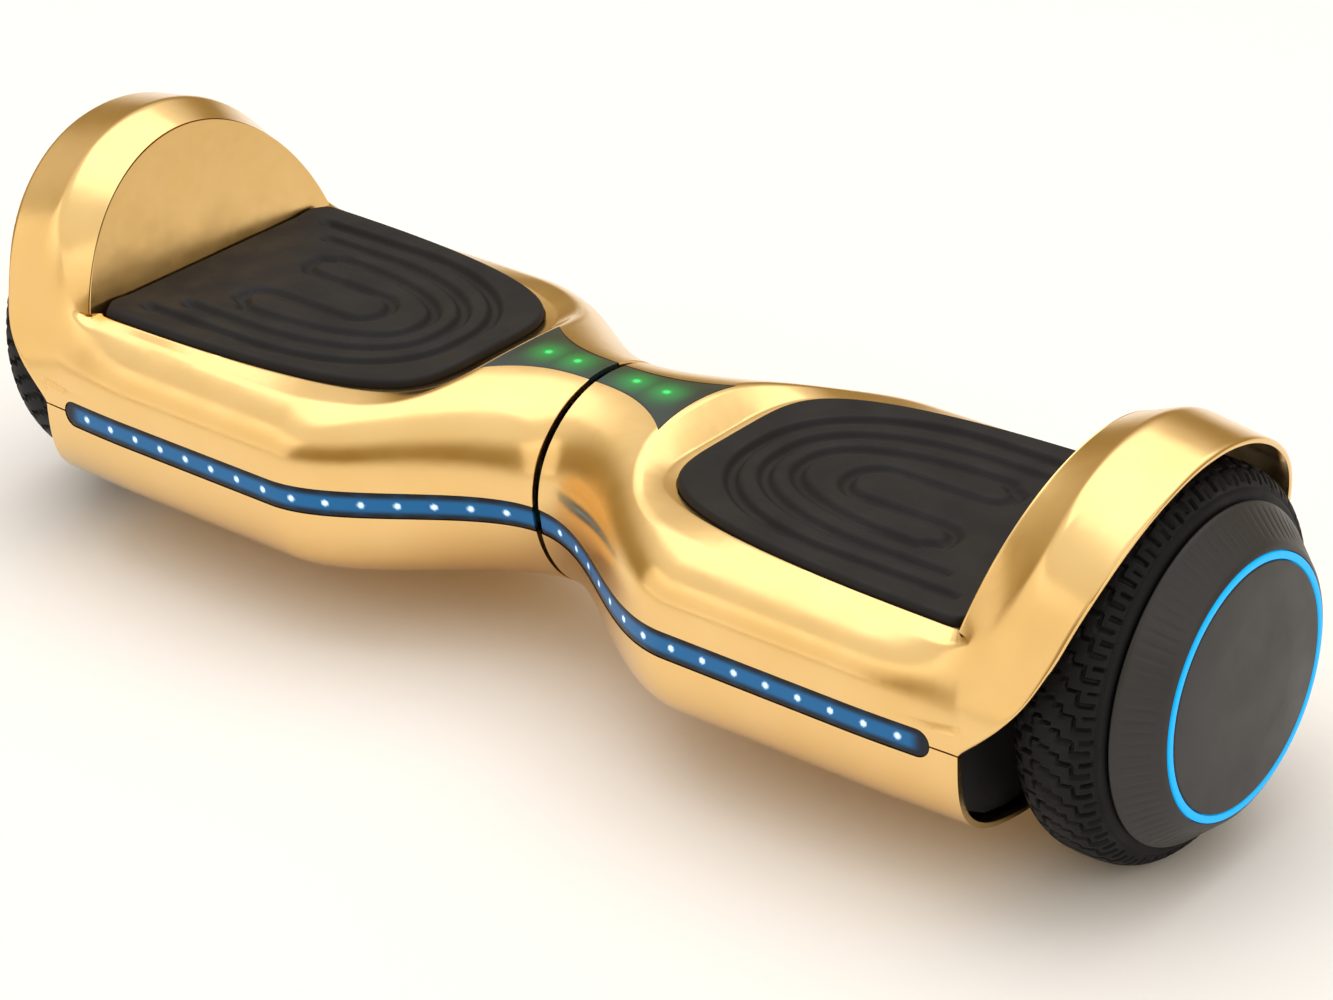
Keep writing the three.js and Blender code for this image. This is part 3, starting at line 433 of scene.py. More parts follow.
@dataclass(frozen=True)
class Finish:
    """A material: what it is made of and how its surface was made."""

    name: str
    colour: str
    shade: str                    # second colour, which the first drifts towards
    roughness: float
    metallic: float = 0.0
    grain: Grain = Grain.MOULDED
    grain_size: float = 0.8 * MM
    grain_depth: float = 0.05 * MM
    drift_size: float = 30 * MM   # how far apart the two colours lie
    coat: float = 0.0
    specular: float = 0.5         # how strongly a surface that isn't metal mirrors, as the shader has it

    def material(self) -> bpy.types.Material:
        """Gives the material, built the first time that it is asked for."""
        known = bpy.data.materials.get(self.name)
        if known is not None:
            return known
        material = bpy.data.materials.new(self.name)
        material.use_nodes = True
        tree = material.node_tree
        tree.nodes.clear()
        out = add_node(tree, "ShaderNodeOutputMaterial")
        shader = add_node(tree, "ShaderNodeBsdfPrincipled", {"Metallic": self.metallic,
                                                             "Specular IOR Level": self.specular})
        place = add_node(tree, "ShaderNodeTexCoord").outputs["Object"]
        tree.links.new(shader.outputs[0], out.inputs["Surface"])
        self.dress(tree, shader, place)
        material.diffuse_color = linear(self.colour)
        return material

    def dress(self, tree: bpy.types.NodeTree, shader: Node, place: bpy.types.NodeSocket) -> None:
        """Adds the colour, the roughness and the relief."""
        self.add_colour(tree, shader, place)
        self.add_roughness(tree, shader, place, self.roughness * 0.85, min(1.0, self.roughness * 1.15))
        self.add_bump(tree, shader, self.relief(tree, place), self.grain_depth)
        if self.coat:
            shader.inputs["Coat Weight"].default_value = self.coat
            shader.inputs["Coat Roughness"].default_value = 0.08

    def add_colour(self, tree: bpy.types.NodeTree, shader: Node, place: bpy.types.NodeSocket) -> None:
        """Drifts the colour between the finish's two colours."""
        noise = add_node(tree, "ShaderNodeTexNoise", {"Vector": place, "Scale": 1 / self.drift_size,
                                                      "Detail": 3.0})
        blend = add_node(tree, "ShaderNodeMix", {0: noise.outputs["Fac"], 6: linear(self.colour),
                                                 7: linear(self.shade)}, data_type="RGBA")
        tree.links.new(blend.outputs[2], shader.inputs["Base Color"])

    def add_roughness(self, tree: bpy.types.NodeTree, shader: Node, place: bpy.types.NodeSocket,
                      low: float, high: float) -> None:
        """Varies the roughness, as handling and wear leave it."""
        noise = add_node(tree, "ShaderNodeTexNoise", {"Vector": place, "Scale": 1 / (22 * MM),
                                                      "Detail": 4.0})
        spread = add_node(tree, "ShaderNodeMapRange", {"Value": noise.outputs["Fac"], "From Min": 0.3,
                                                       "From Max": 0.7, "To Min": low, "To Max": high})
        tree.links.new(spread.outputs[0], shader.inputs["Roughness"])

    def add_bump(self, tree: bpy.types.NodeTree, shader: Node, height: bpy.types.NodeSocket,
                 depth: float) -> None:
        """Turns a height pattern to relief of a real depth."""
        bump = add_node(tree, "ShaderNodeBump", {"Height": height, "Distance": depth, "Strength": 1.0})
        tree.links.new(bump.outputs[0], shader.inputs["Normal"])

    def relief(self, tree: bpy.types.NodeTree, place: bpy.types.NodeSocket) -> bpy.types.NodeSocket:
        """The height pattern of the way that the surface was made."""
        scale = 1 / self.grain_size
        if self.grain is Grain.CAST:
            return add_node(tree, "ShaderNodeTexNoise", {"Vector": place, "Scale": scale,
                                                         "Detail": 6.0}).outputs["Fac"]
        if self.grain is Grain.PRINTED:
            return add_node(tree, "ShaderNodeTexBrick", {"Vector": place, "Scale": scale * 0.25,
                                                         "Mortar Size": 0.03}).outputs["Fac"]
        if self.grain in (Grain.TURNED, Grain.STACKED):
            return add_node(tree, "ShaderNodeTexWave", {"Vector": place, "Scale": scale * 0.16,
                                                        "Distortion": 0.3},
                            bands_direction="X").outputs["Fac"]
        return add_node(tree, "ShaderNodeTexVoronoi", {"Vector": place, "Scale": scale},
                        feature="SMOOTH_F1").outputs["Distance"]


@dataclass(frozen=True)
class GoldPlating(Finish):
    """Vacuum-metallised ABS under a tinted lacquer: a soft mirror, with the faint ripple of moulding."""

    def dress(self, tree: bpy.types.NodeTree, shader: Node, place: bpy.types.NodeSocket) -> None:
        """Adds the drift of the tint, the clear lacquer and the long, shallow ripple."""
        self.add_colour(tree, shader, place)
        self.add_roughness(tree, shader, place, self.roughness * 0.8, self.roughness * 1.25)
        ripple = add_node(tree, "ShaderNodeTexNoise", {"Vector": place, "Scale": 1 / self.grain_size,
                                                       "Detail": 1.0})
        self.add_bump(tree, shader, ripple.outputs["Fac"], self.grain_depth)
        shader.inputs["Coat Weight"].default_value = self.coat
        shader.inputs["Coat Roughness"].default_value = 0.06
        shader.inputs["Coat IOR"].default_value = 1.5


@dataclass(frozen=True)
class Glow(Finish):
    """Lit polycarbonate: its colour and light follow a strength that is painted on the mesh."""

    core: str = "#BFE4FF"
    strength: float = 1.0
    layer: str = "lit"

    def dress(self, tree: bpy.types.NodeTree, shader: Node, place: bpy.types.NodeSocket) -> None:
        """Runs from the shade at 0, through the colour at 0.5, to the core at 1."""
        lit = add_node(tree, "ShaderNodeAttribute", attribute_name=self.layer).outputs["Fac"]
        ramp = add_node(tree, "ShaderNodeValToRGB", {"Fac": lit})
        stops = ramp.color_ramp.elements
        stops[0].color = linear(self.shade)
        stops[1].color = linear(self.core)
        middle = stops.new(0.45)
        middle.color = linear(self.colour)
        tree.links.new(ramp.outputs["Color"], shader.inputs["Base Color"])
        tree.links.new(ramp.outputs["Color"], shader.inputs["Emission Color"])
        power = add_node(tree, "ShaderNodeMath", {0: lit, 1: self.strength}, operation="MULTIPLY")
        tree.links.new(power.outputs[0], shader.inputs["Emission Strength"])
        self.add_roughness(tree, shader, place, self.roughness * 0.9, self.roughness * 1.1)
        shader.inputs["Coat Weight"].default_value = self.coat
        shader.inputs["Coat Roughness"].default_value = 0.05


# Vacuum-metallised and lacquered ABS: a warm mirror that blurs what it reflects a little.
GOLD = GoldPlating("gold_plated_abs", "#EECA8C", "#E6BE78", 0.2, metallic=1.0,
                   grain_size=9 * MM, grain_depth=0.05 * MM, coat=0.25)
# Compression-moulded silicone rubber: matt, with a fine pore and a faint dusty bloom.
PAD_RUBBER = Finish("pad_silicone_rubber", "#171415", "#1D1A1B", 0.6, grain_size=0.5 * MM,
                    grain_depth=0.05 * MM, specular=0.25)
# Vulcanised solid tyre rubber: near black, matt, and a little blue against the casing.
TYRE_RUBBER = Finish("tyre_vulcanised_rubber", "#0B0B0E", "#121216", 0.6, grain_size=0.7 * MM,
                     grain_depth=0.06 * MM, specular=0.2)
# Moulded grey ABS hub cover: satin, from a spark-eroded mould.
HUB_ABS = Finish("hub_moulded_abs", "#2C2A2B", "#333132", 0.42, grain_size=0.35 * MM,
                 grain_depth=0.02 * MM, specular=0.35)
# Injection-moulded black ABS: the plain inner and rear fittings.
BLACK_ABS = Finish("black_moulded_abs", "#151517", "#1C1C1F", 0.5, grain_size=0.5 * MM,
                   grain_depth=0.03 * MM)
# Pressure-cast aluminium: dull, and slightly pitted.
CAST_ALUMINIUM = Finish("cast_aluminium", "#9A9C9E", "#85878A", 0.5, metallic=1.0, grain=Grain.CAST,
                        grain_size=1.6 * MM, grain_depth=0.12 * MM)
# Bright zinc-plated steel: axles, bearings and screws, with fine turning marks.
STEEL = Finish("zinc_plated_steel", "#A2A4A8", "#8A8C90", 0.3, metallic=1.0, grain=Grain.TURNED,
               grain_size=0.9 * MM, grain_depth=0.02 * MM)
# Black-oxide steel: the casing screws.
SCREW_STEEL = Finish("black_oxide_steel", "#3A3A3E", "#2C2C30", 0.38, metallic=1.0, grain=Grain.TURNED,
                     grain_size=0.5 * MM, grain_depth=0.02 * MM)
# Sintered bronze bush: oily and brown, with open pores.
BRONZE = Finish("sintered_bronze", "#A9783A", "#8E632E", 0.45, metallic=1.0, grain=Grain.CAST,
                grain_size=0.6 * MM, grain_depth=0.05 * MM)
# Stacked electrical steel sheets: fine lines along the axle under brown varnish.
LAMINATIONS = Finish("varnished_steel_laminations", "#6D5A4A", "#58493C", 0.5, metallic=0.8,
                     grain=Grain.STACKED, grain_size=1.0 * MM, grain_depth=0.15 * MM)
# Nickel-plated sintered magnets: smooth grey metal.
MAGNETS = Finish("nickel_plated_magnets", "#6A6D74", "#5C5F66", 0.35, metallic=1.0, grain=Grain.CAST,
                 grain_size=2 * MM, grain_depth=0.03 * MM)
# Glass-fibre circuit board under green solder resist.
CIRCUIT_BOARD = Finish("circuit_board_laminate", "#1C4A34", "#153B29", 0.42, grain=Grain.PRINTED,
                       grain_size=2.5 * MM, grain_depth=0.08 * MM, coat=0.3)
# Shrunk PVC sleeve round the cells: blue, glossy and slightly wrinkled.
BATTERY_WRAP = Finish("shrink_wrapped_pvc", "#2A4F86", "#234272", 0.35, grain=Grain.CAST,
                      grain_size=14 * MM, grain_depth=0.5 * MM)
# Diffusing polycarbonate over blue lamps: navy at its edges, blue light between, white at each lamp.
STRIP_LENS = Glow("blue_lit_polycarbonate", "#0F5E96", "#0E1522", 0.3, core="#CFEBFF", strength=0.9,
                  coat=0.1, specular=0.2)
# Smoked polycarbonate over green lamps: slate grey, with green light round each lamp.
SMOKED_LENS = Glow("smoked_polycarbonate", "#1F7A3C", "#232A30", 0.24, core="#2FE870", strength=0.8,
                   coat=0.3, specular=0.3)
# Opal polycarbonate light ring: an even cyan.
RING_LENS = Glow("cyan_lit_polycarbonate", "#0078B8", "#0068A0", 0.3, core="#00A0E0", strength=1.1,
                 specular=0.2)


# ---------------------------------------------------------------- casing shape


@dataclass
class CasingShape:
    """Outside of the right half's casing, measured from the axle line."""

    seam_x: float
    body_end: float
    half_depth: float
    bottom: float
    axle_height: float
    wall: float = 2.6 * MM
    top: float = 40.6 * MM
    squareness: float = 2.4
    belly_squareness: float = 4.1
    waist_half_depth: float = 49.3 * MM
    waist_top: float = 43 * MM
    waist_bottom: float = 56.5 * MM
    waist_squareness: float = 2.0
    flare_length: float = 110 * MM
    parting: float = -9 * MM
    fit_gap: float = 0.3 * MM
    arch_radius: float = 90 * MM
    arch_lift: float = 5 * MM
    arch_foot_inset: float = 2.3 * MM
    arch_side: float = 88 * MM
    arch_top: float = 100.5 * MM
    arch_overhang: float = 49 * MM
    crease_inset: float = 30 * MM
    arch_blend: float = 53.5 * MM
    disc_lean: float = 0.235
    disc_top: float = 93.5 * MM
    disc_side: float = 82 * MM
    pad_inner: float = 68 * MM
    pad_outer: float = 238 * MM
    pad_half_width: float = 73 * MM
    pad_top: float = 34.5 * MM
    pad_thickness: float = 7.3 * MM
    pad_corner: float = 6 * MM
    pad_gap: float = 0.6 * MM
    bevel_width: float = 6 * MM
    lip: float = 30.5 * MM
    floor: float = 25 * MM

    @classmethod
    def from_frame(cls) -> "CasingShape":
        """Takes the overall sizes from the frame's own boxes."""
        low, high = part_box("lower_shell_r")
        axle_low, axle_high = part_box("motor_axle_r")
        axle = (axle_low[2] + axle_high[2]) / 2
        return cls(seam_x=low[0], body_end=high[0], half_depth=high[1], bottom=axle - low[2],
                   axle_height=axle)

    @property
    def arch_foot(self) -> float:
        """Half depth of the casing where the arch starts from it."""
        return self.half_depth - self.arch_foot_inset

    @property
    def crease_x(self) -> float:
        """Where the arch's crease stands along the axle."""
        return self.body_end + self.arch_overhang - self.crease_inset

    def depth_at(self, x: np.ndarray) -> np.ndarray:
        """Half depth of the body at x."""
        return mix(self.waist_half_depth, self.half_depth, ease(x, 0, self.flare_length))

    def belly_at(self, x: np.ndarray) -> tuple:
        """Half depth, depth below the axle line and squareness of the lower half at x."""
        flare = ease(x, 0, self.flare_length)
        lift = ease(x, self.body_end - self.arch_blend, self.crease_x)
        across = mix(self.depth_at(x), self.arch_foot, lift)
        down = mix(self.waist_bottom, self.bottom, flare)
        return across, down, mix(self.waist_squareness, self.belly_squareness, flare)

    def side_at(self, x: np.ndarray, height: np.ndarray) -> np.ndarray:
        """Half depth of the outside at x and a height at or below the axle line."""
        across, down, power = self.belly_at(x)
        return across * (1 - (np.abs(height) / down) ** power) ** (1 / power)

    def under_at(self, x: float, depth: float) -> float:
        """Height of the underside at x and a depth."""
        across, down, power = self.belly_at(np.array(x))
        return -float(down * (1 - (abs(depth) / across) ** power) ** (1 / power))

    def top_at(self, x: np.ndarray, depth: np.ndarray) -> np.ndarray:
        """Height of the outside at x and a depth, between the waist and the arch."""
        power = mix(self.waist_squareness, self.squareness, ease(x, 0, self.pad_inner))
        up = mix(self.waist_top, self.top, ease(x, 0, self.flare_length))
        inside = np.clip(1 - (np.abs(depth) / self.depth_at(x)) ** power, 0, 1)
        return up * inside ** (1 / power)

    @staticmethod
    def super_radius(angle: np.ndarray, across: np.ndarray, up: np.ndarray, power: np.ndarray) -> np.ndarray:
        """Radius of a superellipse at an angle."""
        flat = np.abs(np.cos(angle) / across) ** power
        tall = np.abs(np.sin(angle) / up) ** power
        return (flat + tall) ** (-1 / power)

    def radius_at(self, x: np.ndarray, angle: np.ndarray, inward: np.ndarray) -> np.ndarray:
        """Distance of the casing from the axle line.

        Args:
            x: Place along the axle.
            angle: Angle round the axle, 0 at the front and a quarter turn at the top.
            inward: 0 at the casing's edge and 1 at its crease.

        Returns:
            The radius at each place.
        """
        across, down, belly_power = self.belly_at(x)
        below = self.super_radius(angle, across, down, belly_power)
        power = mix(self.waist_squareness, self.squareness, ease(x, 0, self.pad_inner))
        up = mix(self.waist_top, self.top, ease(x, 0, self.flare_length))
        body = self.super_radius(angle, self.depth_at(x), up, power)
        folded = np.minimum(angle, math.pi - angle)
        flare = (self.arch_foot - self.arch_radius) * (1 - ease(folded, 0, math.radians(28)))
        edge = self.super_radius(angle, self.arch_radius, self.arch_radius + self.arch_lift, 2.0) + flare
        ridge = self.super_radius(angle, self.arch_side, self.arch_top, 2.0)
        arch = mix(edge, ridge, inward)
        above = mix(body, arch, ease(x, self.body_end - self.arch_blend, self.crease_x))
        return np.where(angle < 0, below, above)

    def point(self, x: np.ndarray, angle: np.ndarray, inward: np.ndarray, depth: float = 0.0) -> np.ndarray:
        """Points on the casing, or a depth under it."""
        radius = self.radius_at(x, angle, inward) - depth
        return np.stack([x + 0 * radius, -radius * np.cos(angle), radius * np.sin(angle)], axis=-1)

    def edge_angle(self, x: np.ndarray) -> np.ndarray:
        """Angle at which the casing reaches the upper shell's lower edge."""
        height = self.parting + self.fit_gap / 2
        return np.arctan2(height, self.side_at(x, height))

    @staticmethod
    def blunt(inner: float, outer: float, half: float, end: float, flank: float,
              turn: np.ndarray) -> tuple:
        """Front half of a rounded outline in plan: a blunt inner end, then a long flank."""
        x = outer - (outer - inner) * np.cos(turn) ** (2 / end)
        return x, half * np.sin(turn) ** (2 / flank)

    def pad_outline(self, grow: float, steps: int) -> np.ndarray:
        """Front half of the pad's outline, grown by a margin, as x and depth."""
        corner = self.pad_corner - max(0.0, grow)
        outer = self.pad_outer + grow
        half = self.pad_half_width + grow
        turn = np.linspace(0, math.pi / 2, steps)
        x, y = self.blunt(self.pad_inner - grow, outer, half, 2.4, 4.7, turn)
        keep = x < outer - corner
        bend = np.linspace(0, math.pi / 2, 9)
        corner_x = outer - corner * (1 - np.sin(bend))
        corner_y = half - corner * (1 - np.cos(bend))
        return np.stack([np.append(x[keep], corner_x), np.append(y[keep], corner_y)], axis=1)

    def crease(self, shares: np.ndarray) -> np.ndarray:
        """The crease round the pad and over the arch, as x and angle, from the waist to the arch top."""
        turn = np.linspace(0, math.pi / 2, 9)
        reach = self.pad_half_width + self.bevel_width
        x, y = self.blunt(self.pad_inner - 19.7 * MM, self.pad_inner + 82 * MM, reach, 3.2, 2.6, turn)
        along = [mix(self.pad_inner, self.pad_outer, 0.7), self.pad_outer - 13 * MM]
        x, y = np.append(x, along), np.append(y, [reach, reach])
        angle = np.arctan2(self.top_at(x, y), y)
        inboard = np.array([-33.5, -23.5, -14.5, -6.5, -2, -0.5, 0]) * MM
        rise = np.radians([19.5, 23, 30.5, 42, 56, 72, 90])
        knots = np.stack([np.append(x, self.crease_x + inboard),
                          np.append(angle, rise) * self.half_depth], axis=1)
        behind = knots[-2:0:-1].copy()
        behind[:, 1] = math.pi * self.half_depth - behind[:, 1]
        curve = catmull_rom(np.concatenate([knots, behind]), np.asarray(shares) / 2, True)
        return curve / np.array([1, self.half_depth])

    def arch_edge(self, shares: np.ndarray) -> np.ndarray:
        """The outer edge of the arch, as x and angle, from its foot to its top."""
        foot = float(self.edge_angle(np.array(self.body_end)))
        outboard = np.array([0, 0.355, 0.53, 0.67, 0.775, 0.87, 0.94, 0.985, 1])
        rise = np.append(foot, np.radians([5, 12, 22, 33, 45, 58, 72, 90]))
        knots = np.stack([self.body_end + outboard * self.arch_overhang, rise * self.half_depth], axis=1)
        return catmull_rom(knots, shares, False) / np.array([1, self.half_depth])

    def skin_normal(self, points: np.ndarray) -> tuple:
        """Normals of the body at points near it, and how far each point is from it."""
        x = np.clip(points[:, 0], self.seam_x, self.body_end)
        folded = np.arctan2(points[:, 2], np.abs(points[:, 1]))
        mirror = points[:, 1] > 0
        step = 1e-5
        radius = self.radius_at(x, folded, 0.0)
        along = (self.radius_at(x + step, folded, 0.0) - self.radius_at(x - step, folded, 0.0)) / (2 * step)
        turn = step / radius
        around = (self.radius_at(x, folded + turn, 0.0) - self.radius_at(x, folded - turn, 0.0)) / (2 * step)
        cos, sin = np.cos(folded), np.sin(folded)
        normal = np.stack([-along, -cos - around * sin, sin - around * cos], axis=1)
        normal[:, 1] *= np.where(mirror, -1, 1)
        normal /= np.linalg.norm(normal, axis=1, keepdims=True)
        off = np.hypot(points[:, 1], points[:, 2]) - radius
        return normal, off


# ---------------------------------------------------------------- casing


@dataclass
class Casing:
    """Both shells of one half: skin, crease, pad recess, arch and their cut-outs."""

    shape: CasingShape
    seam_columns: int = 24
    front_columns: int = 96
    arch_columns: int = 72
    skin_rows: int = 22
    crease_round: float = 2.6 * MM
    arch_round: float = 1.3 * MM
    edge_round: float = 0.5 * MM
    corner_share: float = 0.19      # share of the crease over the seam columns
    foot_share: float = 0.69        # share of the crease up to the arch's foot
    shelf_width: float = 4.6 * MM   # flat margin round the inner end of the pad
    shelf_rise: float = 0.5 * MM
    groove: float = 1.0 * MM        # line round the upright disc
    strip_height: float = 12 * MM
    strip_end: float = 13 * MM
    window_seam: float = 9.6 * MM
    window_tip: float = 25.7 * MM
    rear_height: float = -26 * MM
    button_x: float = 166 * MM
    socket_x: float = 122 * MM
    screw_radius: float = 4.2 * MM
    screw_depth: float = 2 * MM
    belly_columns: int = 130
    belly_rows: int = 60
    skin_tolerance: float = 0.06 * MM   # how near the true casing a corner lies to take its normal
    skin_agreement: float = 0.94        # least cosine between a face and the casing's normal

    def column_ends(self) -> tuple:
        """Edge and crease of every front column, as x and angle."""
        shape = self.shape
        seam = np.linspace(0, 1, self.seam_columns + 1)
        front = np.linspace(0, 1, self.front_columns + 1)[1:]
        arch = np.linspace(0, 1, self.arch_columns + 1)[1:]
        waist_foot = float(shape.edge_angle(np.array(shape.seam_x)))
        front_x = mix(shape.seam_x, shape.body_end, front)
        edge_x = np.append(np.full(len(seam), shape.seam_x), front_x)
        edge_angle = np.append(mix(math.pi / 2, waist_foot, seam), shape.edge_angle(front_x))
        arch_edge = shape.arch_edge(arch)
        edge = np.stack([np.append(edge_x, arch_edge[:, 0]), np.append(edge_angle, arch_edge[:, 1])], axis=1)
        shares = np.concatenate([self.corner_share * seam, mix(self.corner_share, self.foot_share, front),
                                 mix(self.foot_share, 1, arch)])
        return edge, shape.crease(shares), shares

    def lip_points(self, crease: np.ndarray) -> tuple:
        """Inner end of every column: its lip, and its foot on the recess floor."""
        shape = self.shape
        outline = shape.pad_outline(shape.pad_gap, 400)[:-4]
        plain = self.seam_columns + self.front_columns + 1
        gaps = np.linalg.norm(outline[None, :, :] - (crease[:plain, None, :2] * [1, -1]), axis=2)
        near = outline[np.argmin(gaps, axis=1)]
        lip = np.stack([near[:, 0], -near[:, 1], np.full(plain, shape.lip)], axis=1)
        foot = lip * [1, 1, 0] + [0, 0, shape.floor]
        share = np.linspace(0, 1, self.arch_columns + 1)[1:]
        turn = mix(math.asin(shape.lip / shape.disc_top), math.pi / 2, share)
        high = np.stack([0 * turn, -shape.disc_side * np.cos(turn), shape.disc_top * np.sin(turn)], axis=1)
        high[:, 0] = self.disc_x(high[:, 2])
        low = np.zeros_like(high)
        low[:, 0] = self.disc_x(shape.floor)
        low[:, 1] = -outline[-1, 1] * (1 - share)
        low[:, 2] = shape.floor
        return np.concatenate([lip, high]), np.concatenate([foot, low])

    def disc_x(self, height: np.ndarray) -> np.ndarray:
        """Place of the upright disc at a height."""
        shape = self.shape
        bottom = shape.pad_top - shape.pad_thickness
        return shape.pad_outer + shape.pad_gap + (height - bottom) * shape.disc_lean

    def front_rings(self) -> tuple:
        """Rings of points of the front half, from the recess floor out over the edge to the lining."""
        shape = self.shape
        edge, crease, shares = self.column_ends()
        corner = shape.point(crease[:, 0], crease[:, 1], 1.0)
        lip, foot = self.lip_points(corner)
        is_arch = np.arange(len(edge)) > self.seam_columns + self.front_columns
        length = np.linalg.norm(shape.point(edge[:, 0], edge[:, 1], 0.0) - corner, axis=1)
        rim = np.where(is_arch, self.arch_round, self.edge_round)
        start, stop = rim / length, 1 - self.crease_round / length

        def skin_at(t: np.ndarray, depth: float = 0.0) -> np.ndarray:
            place = edge + (crease - edge) * t[:, None]
            return shape.point(place[:, 0], place[:, 1], t, depth)

        rings = [mix(foot, np.array([mix(shape.pad_inner, shape.pad_outer, 0.5), 0, shape.floor]), t)
                 for t in (0.6, 0.0)]
        outward = corner - lip
        reach = np.linalg.norm(outward, axis=1, keepdims=True)
        rings.extend(self.bevel_rings(lip, foot, outward / reach, reach, is_arch, shares))
        bend_in, bend_out = corner - outward / reach * self.crease_round, skin_at(stop)
        for t in (0.0, 0.25, 0.5, 0.75):
            rings.append((1 - t) ** 2 * bend_in + 2 * t * (1 - t) * corner + t * t * bend_out)
        for t in np.linspace(1, 0, self.skin_rows):
            rings.append(skin_at(mix(start, stop, t)))
        outer_edge, inner_edge = skin_at(0 * start), skin_at(0 * start, shape.wall)
        tangent = outer_edge - rings[-1]
        tangent /= np.linalg.norm(tangent, axis=1, keepdims=True)
        middle = (outer_edge + inner_edge) / 2 - tangent * rim[:, None]
        for turn in np.radians([30, 60, 90, 120, 150]):
            rings.append(middle + (outer_edge - inner_edge) / 2 * math.cos(turn)
                         + tangent * rim[:, None] * math.sin(turn))
        for t in np.linspace(0, 1, 9):
            rings.append(skin_at(mix(start, np.ones_like(start), t), shape.wall))
        rings.extend(self.lining_rings(lip, foot, outward, is_arch))
        return np.array(rings)

    @staticmethod
    def level(directions: np.ndarray) -> np.ndarray:
        """The level part of each direction, at unit length."""
        flat = directions * [1, 1, 0]
        return flat / np.maximum(np.linalg.norm(flat, axis=1, keepdims=True), 1e-9)

    def bevel_rings(self, lip: np.ndarray, foot: np.ndarray, outward: np.ndarray, reach: np.ndarray,
                    is_arch: np.ndarray, shares: np.ndarray) -> list:
        """Recess wall, lip and margin of each column, or the groove round the upright disc."""
        column = is_arch[:, None]
        down = foot - lip
        down = down / np.linalg.norm(down, axis=1, keepdims=True)
        width = self.shelf_width * (1 - ease(shares, 0.12, 0.5))[:, None] + 0.8 * MM
        flat = self.level(outward)
        shelf = lip + flat * width + [0, 0, self.shelf_rise]
        into = np.array([1.0, 0, -self.shape.disc_lean]) * self.groove
        below = lip + down * 0.6 * MM
        line = [np.where(column, lip + into, lip + outward * 0.02 * MM),
                np.where(column, lip + outward * self.groove + into, shelf - flat * 0.4 * MM)]
        outer = np.where(column, lip + outward * self.groove, shelf)
        near = outer + (outward * np.minimum(reach * 0.12, 1.2 * MM))
        return [below, lip, line[0], line[1], outer, near]

    def lining_rings(self, lip: np.ndarray, foot: np.ndarray, outward: np.ndarray,
                     is_arch: np.ndarray) -> list:
        """Inner faces of the bevel and of the recess, down to the underside of its floor."""
        wall = self.shape.wall
        flat = self.level(outward)
        shrink = 1 - wall / self.shape.disc_top
        aside = flat * wall - [0, 0, wall]
        column = is_arch[:, None]
        high = np.where(column, lip * [1, shrink, shrink] + [wall, 0, 0], lip + aside)
        low = np.where(column, foot + [wall, 0, -wall], foot + aside)
        middle = np.array([mix(self.shape.pad_inner, self.shape.pad_outer, 0.5), 0, self.shape.floor - wall])
        return [high, low, mix(low, middle, 0.6)]

    def upper_shell(self) -> Piece:
        """The upper shell of the right half, with its strip slot and its window."""
        front = self.front_rings()
        back = front[:, -2:0:-1] * [1, -1, 1]
        rings = np.concatenate([front, back], axis=1)
        x = mix(self.shape.pad_inner, self.shape.pad_outer, 0.5)
        ends = [(x, 0, self.shape.floor), (x, 0, self.shape.floor - self.shape.wall)]
        piece = capped_stack("upper_shell", rings, ends, 30.0)
        return cut(piece, [self.strip_tool(), self.window_tool()])

    def lower_shell(self, side: Side) -> Piece:
        """The lower shell of one half, still on the right, with the holes that this half has."""
        shape = self.shape
        along = np.linspace(shape.seam_x, shape.body_end, self.belly_columns)
        low = -shape.parting + shape.fit_gap / 2
        foot = -np.arctan2(low, shape.side_at(along, -low))[:, None]
        share = np.linspace(0, 1, self.belly_rows)[None, :]
        turn = foot + (-math.pi / 2 - foot) * share
        grids = [shape.point(along[:, None] + 0 * turn, turn, 0 * turn, d) for d in (0.0, shape.wall)]
        outer, inner = (np.concatenate([g, g[:, -2::-1] * [1, -1, 1]], axis=1) for g in grids)
        piece = sheet("lower_shell", outer, inner, 30.0)
        tools = [self.strip_tool(), *self.screw_tools()]
        if side is Side.RIGHT:
            tools.extend(self.rear_tools())
        return cut(piece, tools)

    def strip_band(self, start: float, end: float, half: float, front: float, back: float,
                   columns: int = 9) -> tuple:
        """Two faces of a band along the front that follows the casing, with a round outer end.

        Args:
            start: Where it starts along the axle.
            end: Where its round end stops.
            half: Half its height.
            front: Depth of its front face under the casing.
            back: Depth of its back face.
            columns: Points over its height.

        Returns:
            The front grid and the back grid.
        """
        shape = self.shape
        straight = end - half
        bend = half * np.sin(np.radians(84) * np.linspace(0, 1, 11)[1:])
        along = np.append(np.linspace(start, straight, 260), straight + bend)
        reach = np.sqrt(half ** 2 - np.maximum(0, along - straight) ** 2)
        height = shape.parting + reach[:, None] * np.linspace(-1, 1, columns)[None, :]
        side = shape.side_at(along[:, None] + 0 * height, np.minimum(0, height))
        faces = [np.stack([along[:, None] + 0 * height, depth - side, height], axis=-1)
                 for depth in (front, back)]
        return faces[0], faces[1]

    def strip_tool(self) -> Piece:
        """The slot of the light strip."""
        shape = self.shape
        end = shape.body_end - self.strip_end + shape.fit_gap
        half = self.strip_height / 2 + shape.fit_gap
        front, back = self.strip_band(shape.seam_x - MM, end, half, -4 * MM, shape.wall + 4 * MM, 3)
        return sheet("strip_tool", front, back)

